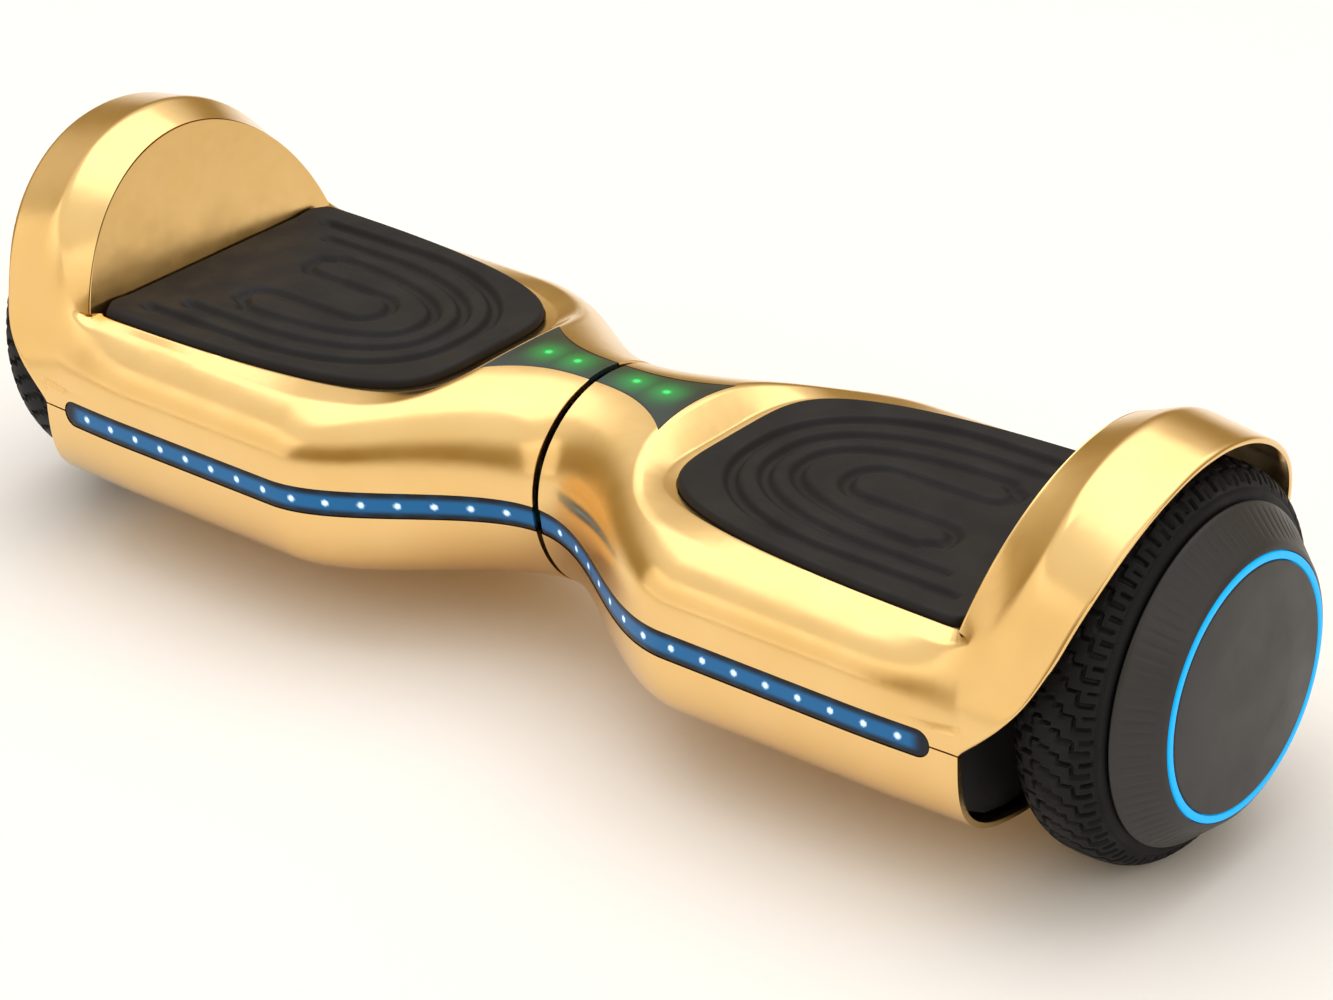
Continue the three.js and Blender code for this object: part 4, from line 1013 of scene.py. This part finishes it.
    def window_grid(self, grow: float, offset: float, steps: int, columns: int) -> np.ndarray:
        """Points of the bow-tie window, at an offset from the casing."""
        shape = self.shape
        t = np.linspace(0, 1, steps)[:, None]
        share = np.linspace(-1, 1, columns)[None, :]
        start = shape.seam_x + 0.6 * MM - 4 * grow
        end = shape.pad_inner - 20.5 * MM + grow
        y = (mix(self.window_seam, self.window_tip, t ** 2.6) + grow) * share
        x = mix(start, end, t) + 2 * MM * t * share ** 2
        return np.stack([x, y, shape.top_at(x, y) + offset], axis=-1)

    def window_tool(self) -> Piece:
        """The hole of the window."""
        gap = self.shape.fit_gap
        above = self.window_grid(gap, 4 * MM, 30, 25)
        below = self.window_grid(gap, -self.shape.wall - 3 * MM, 30, 25)
        return sheet("window_tool", above, below)

    def screw_places(self) -> list:
        """Plan places of the screws in the lower shell, over the frame."""
        inner, outer = 92 * MM, self.shape.body_end - 26 * MM
        depth = self.shape.half_depth * 0.62
        return [(x, y) for x in (inner, mix(inner, outer, 0.5), outer) for y in (-depth, depth)]

    def screw_tools(self) -> list:
        """The counterbores of the screws."""
        tools = []
        for x, y in self.screw_places():
            skin = self.shape.under_at(x, y)
            deck = skin + self.screw_depth
            profile = [(0, skin - 3 * MM), (self.screw_radius, skin - 3 * MM), (self.screw_radius, deck),
                       (0, deck)]
            tools.append(shift(turned("screw_tool", profile, 24, "Z"), (x, y, 0)))
        return tools

    def rear_face(self, x: float) -> float:
        """Depth of the casing's rear face at the height of the button and the socket."""
        return float(self.shape.side_at(np.array(x), np.array(self.rear_height)))

    def rear_tools(self) -> list:
        """The holes of the power button and of the charging socket, with its cap's hinge notch."""
        tools = []
        for x, radius in ((self.button_x, 7.6 * MM), (self.socket_x, 10.8 * MM)):
            face = self.rear_face(x)
            profile = [(0, face - 9 * MM), (radius, face - 9 * MM), (radius, face + 4 * MM),
                       (0, face + 4 * MM)]
            tools.append(shift(turned("rear_tool", profile, 40, "Y"), (x, 0, self.rear_height)))
        face = self.rear_face(self.socket_x)
        x, z = self.socket_x, self.rear_height
        tools.append(block("notch_tool", (x - 4.6 * MM, face - 9 * MM, z - 15.2 * MM),
                           (x + 4.6 * MM, face + 4 * MM, z - 7.2 * MM)))
        return tools

    def smooth_skin(self, piece: Piece) -> Piece:
        """Sets the true normals of the casing on its faces, so that cut-outs leave no kinks beside them."""
        mesh = piece.data
        mesh.shade_smooth()
        mesh.set_sharp_from_angle(angle=math.radians(30))
        corners = np.empty(len(mesh.loops), int)
        mesh.loops.foreach_get("vertex_index", corners)
        points = np.array([v.co for v in mesh.vertices])[corners]
        faces = np.concatenate([[k] * p.loop_total for k, p in enumerate(mesh.polygons)])
        flat = np.array([p.normal for p in mesh.polygons])[faces]
        normals, off = self.shape.skin_normal(points)
        inner = points[:, 0] < self.shape.body_end - self.shape.arch_blend - 2 * MM
        plain = (np.abs(off) < self.skin_tolerance) & (inner | (points[:, 2] < -2 * MM))
        plain &= np.einsum("ij,ij->i", flat, normals) > self.skin_agreement
        normals[~plain] = 0
        mesh.normals_split_custom_set(normals.tolist())
        return piece

    def build(self, side: Side) -> None:
        """Builds and dresses both shells of one half."""
        lift = (0, 0, self.shape.axle_height)
        for name, piece in (("upper_shell", self.upper_shell()), ("lower_shell", self.lower_shell(side))):
            self.smooth_skin(piece)
            piece.name = f"{name}_skin_{side.tag}"
            fit(shift(mirrored(piece, side), lift), GOLD, side.half, "gold_plating", f"{name}_{side.tag}")
        for index, (x, y) in enumerate(self.screw_places()):
            self.screw(side, index, x, y)

    def screw(self, side: Side, index: int, x: float, y: float) -> None:
        """A pan-head screw with a hexagon socket, in its counterbore."""
        deck = self.shape.under_at(x, y) + self.screw_depth
        head, socket = 3.4 * MM, 1.6 * MM
        body = rounded([(0, deck + 0.2 * MM), (head, deck + 0.2 * MM), (head, deck - 1.5 * MM),
                        (0, deck - 1.5 * MM)], 0.5 * MM)
        piece = turned(f"case_screw_{index + 1}_{side.tag}", body, 24, "Z")
        hexagon = [(0, deck - 3 * MM), (socket, deck - 3 * MM), (socket, deck - 0.5 * MM),
                   (0, deck - 0.5 * MM)]
        cut(piece, [turned("hexagon", hexagon, 6, "Z")])
        piece.data.set_sharp_from_angle(angle=math.radians(32))
        shift(piece, (x, y, self.shape.axle_height))
        fit(mirrored(piece, side), SCREW_STEEL, side.half, "steel")


# ---------------------------------------------------------------- foot pad


@dataclass
class FootPad:
    """Moulded foot pad: a rounded rim, three nested channels and an inner horseshoe."""

    shape: CasingShape
    rim_round: float = 2.6 * MM
    rim_width: float = 9 * MM
    dish: float = 0.7 * MM           # how far the middle lies under the rim
    channel: float = 6.6 * MM        # width of a channel between its shoulders
    channel_depth: float = 3.0 * MM
    first_inset: float = 15.5 * MM   # rim to the first channel
    pitch: float = 12.6 * MM
    ends: tuple = (222 * MM, 209 * MM, 187 * MM)
    shoe_inner: float = 131 * MM
    shoe_half: float = 13 * MM
    shoe_outer: float = 196 * MM
    hook_reach: float = 29 * MM
    rows: int = 190
    columns: int = 151
    edge_crowding: float = 0.9       # 0 for even columns, nearer 1 for more of them at the rim

    def plan(self) -> tuple:
        """Grid of plan places over the pad, as x and depth."""
        shape = self.shape
        turn = np.linspace(0.004, 1, self.rows) ** 1.25 * math.pi / 2
        x, half = shape.blunt(shape.pad_inner, shape.pad_outer, shape.pad_half_width, 2.4, 4.7, turn)
        corner = shape.pad_corner
        over = np.maximum(0, x - (shape.pad_outer - corner))
        half = half - corner + np.sqrt(np.maximum(0, corner ** 2 - over ** 2))
        reach = math.pi / 2 * self.edge_crowding
        share = np.sin(np.linspace(-1, 1, self.columns) * math.pi / 2 * self.edge_crowding) / math.sin(reach)
        grid_x = x[:, None] + 0 * share[None, :]
        return grid_x, half[:, None] * share[None, :]

    def gap(self, points: np.ndarray, line: np.ndarray) -> np.ndarray:
        """Distance of each plan point from a line of plan points."""
        best = np.full(len(points), np.inf)
        for a, b in zip(line, line[1:]):
            run = b - a
            t = np.clip((points - a) @ run / (run @ run), 0, 1)
            best = np.minimum(best, np.linalg.norm(points - a - t[:, None] * run, axis=1))
        return best

    def rim_line(self) -> np.ndarray:
        """The pad's closed outline, as a line of plan points."""
        half = self.shape.pad_outline(0, 70)
        return np.concatenate([half[::-1], half[1:] * [1, -1]])

    def nested_line(self, index: int) -> np.ndarray:
        """Centre line of one of the nested channels, open towards the wheel."""
        inset = self.first_inset + index * self.pitch
        turn = np.linspace(0, math.pi / 2, 40)
        bend = self.shape.pad_half_width * 1.15 - 0.25 * inset
        inner = self.shape.pad_inner + inset
        x, y = self.shape.blunt(inner, inner + bend, self.shape.pad_half_width - inset, 2.0, 2.5, turn)
        half = np.append(np.stack([x, y], axis=1), [[self.ends[index], y[-1]]], axis=0)
        return np.concatenate([half[::-1], half[1:] * [1, -1]])

    def shoe_line(self) -> np.ndarray:
        """Centre line of the inner horseshoe, with its ends hooked outwards."""
        turn = np.linspace(math.pi / 2, math.pi, 9)[::-1]
        centre = self.shoe_inner + self.shoe_half
        bend = np.stack([centre + self.shoe_half * np.cos(turn), self.shoe_half * np.sin(turn)], axis=1)
        hook = self.shoe_outer - 9 * MM
        sweep = np.linspace(-math.pi / 2, 0, 6)
        elbow = np.stack([hook + 9 * MM * np.cos(sweep), self.shoe_half + 9 * MM + 9 * MM * np.sin(sweep)],
                         axis=1)
        tail = [[self.shoe_outer, self.hook_reach - 3 * MM], [self.shoe_outer - 6 * MM, self.hook_reach]]
        half = np.concatenate([bend, elbow, tail])
        return np.concatenate([half[::-1] * [1, -1], half[1:]])

    def heights(self, x: np.ndarray, y: np.ndarray) -> np.ndarray:
        """Height of the pad's top at each plan place."""
        points = np.stack([x.ravel(), y.ravel()], axis=1)
        edge = self.gap(points, self.rim_line())
        drop = self.rim_round - np.sqrt(np.maximum(0, self.rim_round ** 2
                                                   - np.maximum(0, self.rim_round - edge) ** 2))
        drop = drop + self.dish * ease(edge, self.rim_width * 0.5, self.rim_width * 1.6)
        carve = np.zeros(len(points))
        for index in range(len(self.ends)):
            carve = np.maximum(carve, self.groove(self.gap(points, self.nested_line(index))))
        carve = np.maximum(carve, self.groove(self.gap(points, self.shoe_line())))
        high = self.shape.pad_top - drop - self.channel_depth * carve
        return high.reshape(x.shape)

    def groove(self, away: np.ndarray) -> np.ndarray:
        """Depth of a channel, from 0 to 1, at a distance from its middle, with soft shoulders."""
        half = self.channel / 2
        return 1 - ease(away, half * 0.25, half * 1.35)

    def build(self, side: Side) -> None:
        """Builds and dresses the pad of one half."""
        x, y = self.plan()
        top = np.stack([x, y, self.heights(x, y)], axis=-1)
        bottom = self.shape.pad_top - self.shape.pad_thickness
        under = np.stack([x, y, 0 * x + bottom], axis=-1)
        piece = sheet(f"pad_{side.tag}", top, under, 50.0)
        shift(mirrored(piece, side), (0, 0, self.shape.axle_height))
        fit(piece, PAD_RUBBER, f"{side.value}_pad", "pad_rubber", f"foot_pad_{side.tag}")


# ---------------------------------------------------------------- lamps


def paint(piece: Piece, layer: str, values: np.ndarray) -> None:
    """Stores a value from 0 to 1 at each vertex of a piece."""
    attribute = piece.data.attributes.new(layer, "FLOAT", "POINT")
    attribute.data.foreach_set("value", np.clip(values, 0, 1).astype(np.float32))


@dataclass
class LightStrip:
    """Blue light strip along the front of one half, with its row of lamps."""

    casing: Casing
    lamps: int = 15
    first_lamp: float = 15 * MM
    last_lamp: float = 226 * MM
    halo: float = 3.4 * MM
    lamp_radius: float = 1.9 * MM
    face_depth: float = 0.3 * MM
    back_depth: float = 2.3 * MM
    columns: int = 17

    def lamp_places(self) -> np.ndarray:
        """Places of the lamps along the axle, evenly spaced along the curved front."""
        shape = self.casing.shape
        x = np.linspace(self.first_lamp, self.last_lamp, 400)
        side = shape.side_at(x, shape.parting + 0 * x)
        length = np.append(0, np.cumsum(np.hypot(np.diff(x), np.diff(side))))
        return np.interp(np.linspace(0, length[-1], self.lamps), length, x)

    def build(self, side: Side) -> None:
        """Builds and dresses the lens and its lamps."""
        shape = self.casing.shape
        start, end = shape.seam_x + 0.7 * MM, shape.body_end - self.casing.strip_end
        half = self.casing.strip_height / 2
        front, back = self.casing.strip_band(start, end, half, self.face_depth, self.back_depth, self.columns)
        crown = (1 - np.linspace(-1, 1, self.columns) ** 8)[None, :]
        front[..., 1] += 0.25 * MM * (1 - crown)
        piece = sheet(f"strip_lens_{side.tag}_lit", front, back, 50.0)
        lit = self.light(front)
        paint(piece, "lit", np.concatenate([lit.ravel(), 0 * lit.ravel()]))
        shift(mirrored(piece, side), (0, 0, shape.axle_height))
        fit(piece, STRIP_LENS, side.half, "blue_lens", f"strip_lens_{side.tag}")

    def light(self, grid: np.ndarray) -> np.ndarray:
        """Light of the strip at each point: a blue band with a halo round each lamp."""
        shape = self.casing.shape
        up = (grid[..., 2] - shape.parting) / (self.casing.strip_height / 2)
        end = shape.body_end - self.casing.strip_end
        tail = ease(end - grid[..., 0], 3 * MM, 10 * MM)
        band = (1 - ease(np.abs(up), 0.35, 0.8)) * tail
        spots = np.zeros(grid.shape[:2])
        for x in self.lamp_places():
            y = -shape.side_at(np.array(x), np.array(shape.parting))
            away = np.sqrt((grid[..., 0] - x) ** 2 + (grid[..., 1] - y) ** 2
                           + (grid[..., 2] - shape.parting) ** 2)
            spots = np.maximum(spots, np.exp(-(away / self.lamp_radius) ** 4))
            spots = np.maximum(spots, 0.55 * np.exp(-(away / self.halo) ** 2))
        return np.maximum(0.42 * band, spots)


@dataclass
class IndicatorWindow:
    """Smoked bow-tie window on the waist, with green lamps under it."""

    casing: Casing
    lamp_x: tuple = (16.5 * MM, 33 * MM)
    lamp_radius: float = 2.6 * MM
    halo: float = 9 * MM
    face_depth: float = 0.15 * MM
    back_depth: float = 2.4 * MM
    rows: int = 60
    columns: int = 61

    def build(self, side: Side) -> None:
        """Builds and dresses the window of one half."""
        top = self.casing.window_grid(0, -self.face_depth, self.rows, self.columns)
        under = self.casing.window_grid(0, -self.back_depth, self.rows, self.columns)
        share = np.linspace(-1, 1, self.columns)[None, :]
        along = np.linspace(0, 1, self.rows)[:, None]
        rim = np.maximum(np.abs(share), along)
        border = ease(1 - rim, 0.01, 0.16)
        spots = np.zeros(rim.shape)
        for x in self.lamp_x:
            away = np.hypot(top[..., 0] - x, top[..., 1])
            spots = np.maximum(spots, 0.95 * np.exp(-(away / self.lamp_radius) ** 2))
            spots = np.maximum(spots, 0.5 * np.exp(-(away / self.halo) ** 2))
        piece = sheet(f"window_{side.tag}", top, under, 40.0)
        lit = 0.02 + spots * border
        paint(piece, "lit", np.concatenate([lit.ravel(), 0 * lit.ravel()]))
        shift(mirrored(piece, side), (0, 0, self.casing.shape.axle_height))
        fit(piece, SMOKED_LENS, side.half, "smoked_lens", f"indicator_lens_{side.tag}")


# ---------------------------------------------------------------- wheel


@dataclass
class Wheel:
    """Tyre, hub cover and light ring of one wheel."""

    axle_height: float
    inner: float
    outer: float
    tyre_radius: float
    cover_face: float
    bore: float = 60.3 * MM
    tread_pitch: float = 10.4 * MM
    tread_depth: float = 1.7 * MM
    sipe: float = 0.9 * MM
    around: int = 560
    section: int = 84
    ribs: int = 84
    lip_radius: float = 70.5 * MM
    ring_radius: float = 53.3 * MM
    ring_width: float = 3.2 * MM

    @classmethod
    def from_frame(cls) -> "Wheel":
        """Takes the wheel's sizes from the frame's boxes."""
        low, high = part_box("tyre_r")
        return cls(axle_height=(low[2] + high[2]) / 2, inner=low[0], outer=high[0],
                   tyre_radius=(high[2] - low[2]) / 2, cover_face=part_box("hub_cover_r")[1][0])

    def tread(self, turn: np.ndarray, across: np.ndarray) -> np.ndarray:
        """Depth of the tread, from 0 to 1.

        Args:
            turn: Place round the tyre, in pitches.
            across: Place over the tread, in metres from its middle.

        Returns:
            1 in a sipe or a notch and 0 on a block.
        """
        width = self.sipe / self.tread_pitch

        def sipes(offset: np.ndarray, wide: float = 1.0) -> np.ndarray:
            away = np.abs((turn - offset + 0.5) % 1 - 0.5)
            return 1 - ease(away, width * wide * 0.45, width * wide)

        size = np.abs(across)
        zigzag = 0.18 * np.sign(across) * ease(size, 1.5 * MM, 2.5 * MM)
        centre = sipes(zigzag) * (size < 6.5 * MM)
        middle = sipes(0.5 + 0 * turn) * (size > 6.0 * MM) * (size < 11.5 * MM)
        joint = (np.abs(size - 6.3 * MM) < 0.6 * MM) * (((turn - 0.18 * np.sign(across)) % 1) < 0.4)
        step = (np.abs(size - 11.5 * MM) < 0.6 * MM) * (((turn - 0.5) % 1) < 0.5)
        notch = sipes(0 * turn, 1.5) * (size > 11.2 * MM) * (size < 17.2 * MM)
        short = sipes(0.5 + 0 * turn, 1.2) * (size > 14.2 * MM) * (size < 17.6 * MM)
        parts = [centre, middle, joint, step, notch, short]
        return np.max(np.stack([p.astype(float) for p in parts]), axis=0)

    def tyre(self) -> Piece:
        """The tyre of the right wheel, with its tread, shoulder groove and side ridge."""
        middle, half = (self.inner + self.outer) / 2, (self.outer - self.inner) / 2
        rise = self.tyre_radius - self.bore - 2 * MM
        turn = np.linspace(0, math.pi, self.section)
        across = np.sign(np.cos(turn)) * np.abs(np.cos(turn)) ** (2 / 3)
        up = np.sin(turn) ** (2 / 3)
        x = middle + half * across
        radius = self.bore + 2 * MM + rise * up
        angle = np.linspace(0, 2 * math.pi, self.around, endpoint=False)
        rounds = 2 * math.pi * self.tyre_radius / self.tread_pitch
        place = angle[None, :] / (2 * math.pi) * round(rounds) + 0 * turn[:, None]
        depth = self.tread(place, (half * across)[:, None] + 0 * place) * self.tread_depth
        line = np.exp(-((up - 0.62) / 0.035) ** 2) * 0.9 * MM
        depth = depth + line[:, None]
        tangent = np.gradient(np.stack([x, radius], axis=1), axis=0)
        tangent /= np.linalg.norm(tangent, axis=1, keepdims=True)
        normal = np.stack([tangent[:, 1], -tangent[:, 0]], axis=1)
        normal *= np.sign(normal @ np.array([0, 1]) + 1e-9)[:, None] * np.where(up < 0.02, 0, 1)[:, None]
        px = x[:, None] - normal[:, :1] * depth
        pr = radius[:, None] - normal[:, 1:] * depth
        outer = np.stack([px, pr * np.cos(angle), pr * np.sin(angle)], axis=-1)
        seat = [(middle - half + MM, self.bore), (middle + half - MM, self.bore)]
        inner = [turned_rings(np.array([r]), np.array([far]), angle, "X")[0] for far, r in seat]
        return looped_stack("tyre_tread", np.concatenate([outer, inner]), 60.0)

    def cover(self) -> Piece:
        """The hub cover: fine radial ribs on its cone, a ring groove and a slightly domed disc."""
        base, face = self.outer + 0.4 * MM, self.cover_face
        inner, outer = self.ring_radius - self.ring_width / 2, self.ring_radius + self.ring_width / 2
        gap, lip = 0.3 * MM, self.lip_radius
        shoulder = (outer + 2.4 * MM, face - 2.8 * MM)
        run = [(0, face), (inner * 0.6, face - 0.4 * MM), (inner - gap, face - 1.2 * MM),
               (inner - gap, face - 3.6 * MM), (outer + gap, face - 3.6 * MM),
               (outer + gap, face - 1.6 * MM), shoulder, (lip - 0.7 * MM, base + 2 * MM),
               (lip, base + 0.5 * MM), (lip - 1.5 * MM, base), (lip - 4.3 * MM, base),
               (lip - 4.3 * MM, base + 2 * MM), (outer + 1.4 * MM, face - 5.6 * MM), (0, face - 5.8 * MM)]
        profile = rounded(run, 0.7 * MM, 4)
        cone = np.linspace(0, 1, 14)[1:-1, None]
        start = int(np.argmin(np.linalg.norm(profile - np.array(shoulder), axis=1))) + 2
        stretch = np.array(profile[start]) + (np.array(profile[start + 1]) - profile[start]) * cone
        profile = np.concatenate([profile[:start + 1], stretch, profile[start + 1:]])
        segments = self.ribs * 8
        turn = np.linspace(0, 2 * math.pi, segments, endpoint=False)
        rings = turned_rings(profile[:, 0], profile[:, 1], turn, "X")
        wave = 1 - ease(np.abs((turn * self.ribs / (2 * math.pi)) % 1 - 0.5), 0.06, 0.2)
        rows = slice(start + 2, start + 1 + len(cone))
        fade = np.sin(np.linspace(0.25, math.pi - 0.25, rings[rows].shape[0])) ** 0.5
        rings[rows, :, 0] -= 0.45 * MM * wave[None, :] * fade[:, None]
        ends = (rings[0].mean(axis=0), rings[-1].mean(axis=0))
        return capped_stack("hub_cover_ribbed", rings[1:-1], ends, 38.0)

    def light_ring(self) -> Piece:
        """The lens of the light ring, with a rounded face."""
        face, half = self.cover_face - 1.2 * MM, self.ring_width / 2
        run = [(self.ring_radius - half, face - 2.1 * MM), (self.ring_radius - half, face),
               (self.ring_radius + half, face), (self.ring_radius + half, face - 2.1 * MM)]
        return turned("light_ring_lit", rounded(run, 0.8 * MM, 5), 160, "X", 60.0)

    def build(self, side: Side) -> None:
        """Builds and dresses one wheel's outer pieces."""
        made = [(self.tyre(), TYRE_RUBBER, "tyre_rubber", "tyre"),
                (self.cover(), HUB_ABS, "hub_plastic", "hub_cover"),
                (self.light_ring(), RING_LENS, "cyan_lens", "light_ring")]
        for piece, finish, slot, node in made:
            piece.name = f"{piece.name}_{side.tag}"
            if finish is RING_LENS:
                paint(piece, "lit", np.full(len(piece.data.vertices), 0.8))
            shift(mirrored(piece, side), (0, 0, self.axle_height))
            fit(piece, finish, side.wheel, slot, f"{node}_{side.tag}")


# ---------------------------------------------------------------- nodes kept from the frame


@dataclass
class KeptNodes:
    """Finishes of the pieces whose shape in the frame is already right."""

    def pairs(self) -> dict:
        """Finish of each node that both halves have."""
        return {
            "frame": CAST_ALUMINIUM, "axle_clamp": CAST_ALUMINIUM, "wheel_rim": CAST_ALUMINIUM,
            "motor_cover": CAST_ALUMINIUM, "clamp_bolt_1": STEEL, "clamp_bolt_2": STEEL,
            "motor_axle": STEEL, "inner_bearing": STEEL, "outer_bearing": STEEL,
            "stator": LAMINATIONS, "magnet_ring": MAGNETS, "well_panel": BLACK_ABS,
            "strip_board": CIRCUIT_BOARD, "indicator_board": CIRCUIT_BOARD,
            "sensor_board": CIRCUIT_BOARD, "ring_board": CIRCUIT_BOARD,
        }

    def singles(self) -> dict:
        """Finish of each node that the board has one of."""
        return {
            "pivot_tube": STEEL, "pivot_ring": STEEL, "pivot_bush": BRONZE, "centre_seal": PAD_RUBBER,
            "battery_pack": BATTERY_WRAP, "controller": CIRCUIT_BOARD, "power_switch": BLACK_ABS,
            "power_button": BLACK_ABS, "charge_socket": BLACK_ABS, "charge_cap": PAD_RUBBER,
        }

    def dress(self) -> None:
        """Gives every kept node its material."""
        finishes = dict(self.singles())
        for side in Side:
            finishes.update({f"{name}_{side.tag}": finish for name, finish in self.pairs().items()})
        for name, finish in finishes.items():
            node = frame["nodes"][name]
            while len(node.material_slots) < 1:
                node.data.materials.append(None)
            for holder in node.material_slots:
                holder.material = finish.material()
            log.info("dressed %s in %s", name, finish.name)


# ---------------------------------------------------------------- studio


@dataclass
class Studio:
    """Pale floor, soft light and the camera."""

    height: float = 0.8441
    across: float = 0.9822
    back: float = -1.1185
    yaw: float = 0.7047
    pitch: float = 0.4837
    roll: float = -0.0295
    lens: float = 104.73

    def build(self) -> None:
        """Sets up everything that isn't part of the board."""
        self.camera()
        self.floor()
        self.sky()
        self.lamp("overhead_softbox", (-0.4, 0.5, 2.4), (0, 0, 0.1), (3.6, 2.4), 25)
        self.lamp("front_softbox", (-1.8, -2.2, 1.1), (0, 0, 0.1), (2.2, 1.8), 9)
        self.lamp("side_softbox", (2.6, -0.5, 1.0), (0, 0, 0.1), (2.0, 1.8), 10)

    def camera(self) -> None:
        """Places the camera, a little above the board and to its right."""
        data = bpy.data.cameras.new("camera")
        data.lens = self.lens
        data.sensor_width = 36
        data.clip_end = 100
        camera = bpy.data.objects.new("camera", data)
        bpy.context.scene.collection.objects.link(camera)
        ahead = Vector((-math.sin(self.yaw) * math.cos(self.pitch),
                        math.cos(self.yaw) * math.cos(self.pitch), -math.sin(self.pitch)))
        right = ahead.cross(Vector((0, 0, 1))).normalized()
        up = right.cross(ahead)
        cos, sin = math.cos(self.roll), math.sin(self.roll)
        axes = (right * cos + up * sin, up * cos - right * sin, -ahead)
        turn = Matrix(axes).transposed().to_4x4()
        camera.matrix_world = Matrix.Translation((self.across, self.back, self.height)) @ turn
        bpy.context.scene.camera = camera

    def floor(self) -> None:
        """A wide, matt, white floor."""
        half = 14.0
        mesh = bpy.data.meshes.new("floor")
        mesh.from_pydata([(-half, -half, 0), (half, -half, 0), (half, half, 0), (-half, half, 0)], [],
                         [(0, 1, 2, 3)])
        floor = bpy.data.objects.new("floor", mesh)
        bpy.context.scene.collection.objects.link(floor)
        material = bpy.data.materials.new("matt_white_paper")
        material.use_nodes = True
        shader = material.node_tree.nodes["Principled BSDF"]
        shader.inputs["Base Color"].default_value = linear("#F8F5F3")
        shader.inputs["Roughness"].default_value = 0.9
        mesh.materials.append(material)

    def sky(self) -> None:
        """A white room with a darker, warm band above the horizon, which shapes the plating's reflections."""
        world = bpy.data.worlds.new("studio")
        bpy.context.scene.world = world
        world.use_nodes = True
        tree = world.node_tree
        tree.nodes.clear()
        direction = add_node(tree, "ShaderNodeTexCoord").outputs["Generated"]
        height = add_node(tree, "ShaderNodeSeparateXYZ", {0: direction}).outputs["Z"]
        spread = add_node(tree, "ShaderNodeMapRange", {"Value": height, "From Min": -1.0, "From Max": 1.0})
        ramp = add_node(tree, "ShaderNodeValToRGB", {"Fac": spread.outputs[0]})
        stops = ramp.color_ramp.elements
        stops[0].position, stops[0].color = 0.0, (1, 1, 1, 1)
        stops[1].position, stops[1].color = 1.0, (1, 1, 1, 1)
        for place, shade in ((0.5, "#E6DAC4"), (0.58, "#9A8458"), (0.7, "#A89468"), (0.82, "#F4EEE4")):
            stops.new(place).color = linear(shade)
        glow = add_node(tree, "ShaderNodeBackground", {"Color": ramp.outputs["Color"], "Strength": 1.12})
        add_node(tree, "ShaderNodeOutputWorld", {"Surface": glow.outputs[0]})
        bpy.context.scene.view_settings.view_transform = "Standard"

    def lamp(self, name: str, place: tuple, target: tuple, size: tuple, power: float) -> None:
        """Adds a soft box.

        Args:
            name: Its name.
            place: Where it stands.
            target: What it points at.
            size: Its width and height.
            power: Its power in watts.
        """
        data = bpy.data.lights.new(name, "AREA")
        data.shape = "RECTANGLE"
        data.size, data.size_y = size
        data.energy = power
        lamp = bpy.data.objects.new(name, data)
        bpy.context.scene.collection.objects.link(lamp)
        lamp.location = place
        lamp.rotation_euler = (Vector(target) - Vector(place)).to_track_quat("-Z", "Y").to_euler()


# ---------------------------------------------------------------- assembly


def plain(box: tuple) -> list:
    """A box as plain lists of numbers."""
    return [[float(value) for value in corner] for corner in box]


def main() -> None:
    """Builds the board, dresses it and sets up the studio."""
    shape = CasingShape.from_frame()
    casing = Casing(shape)
    wheel = Wheel.from_frame()
    for side in Side:
        casing.build(side)
        FootPad(shape).build(side)
        LightStrip(casing).build(side)
        IndicatorWindow(casing).build(side)
        wheel.build(side)
    KeptNodes().dress()
    Studio().build()


if __name__ == "__main__":
    logging.basicConfig(level=logging.INFO, format="%(name)s: %(message)s")
    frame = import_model()
    main()
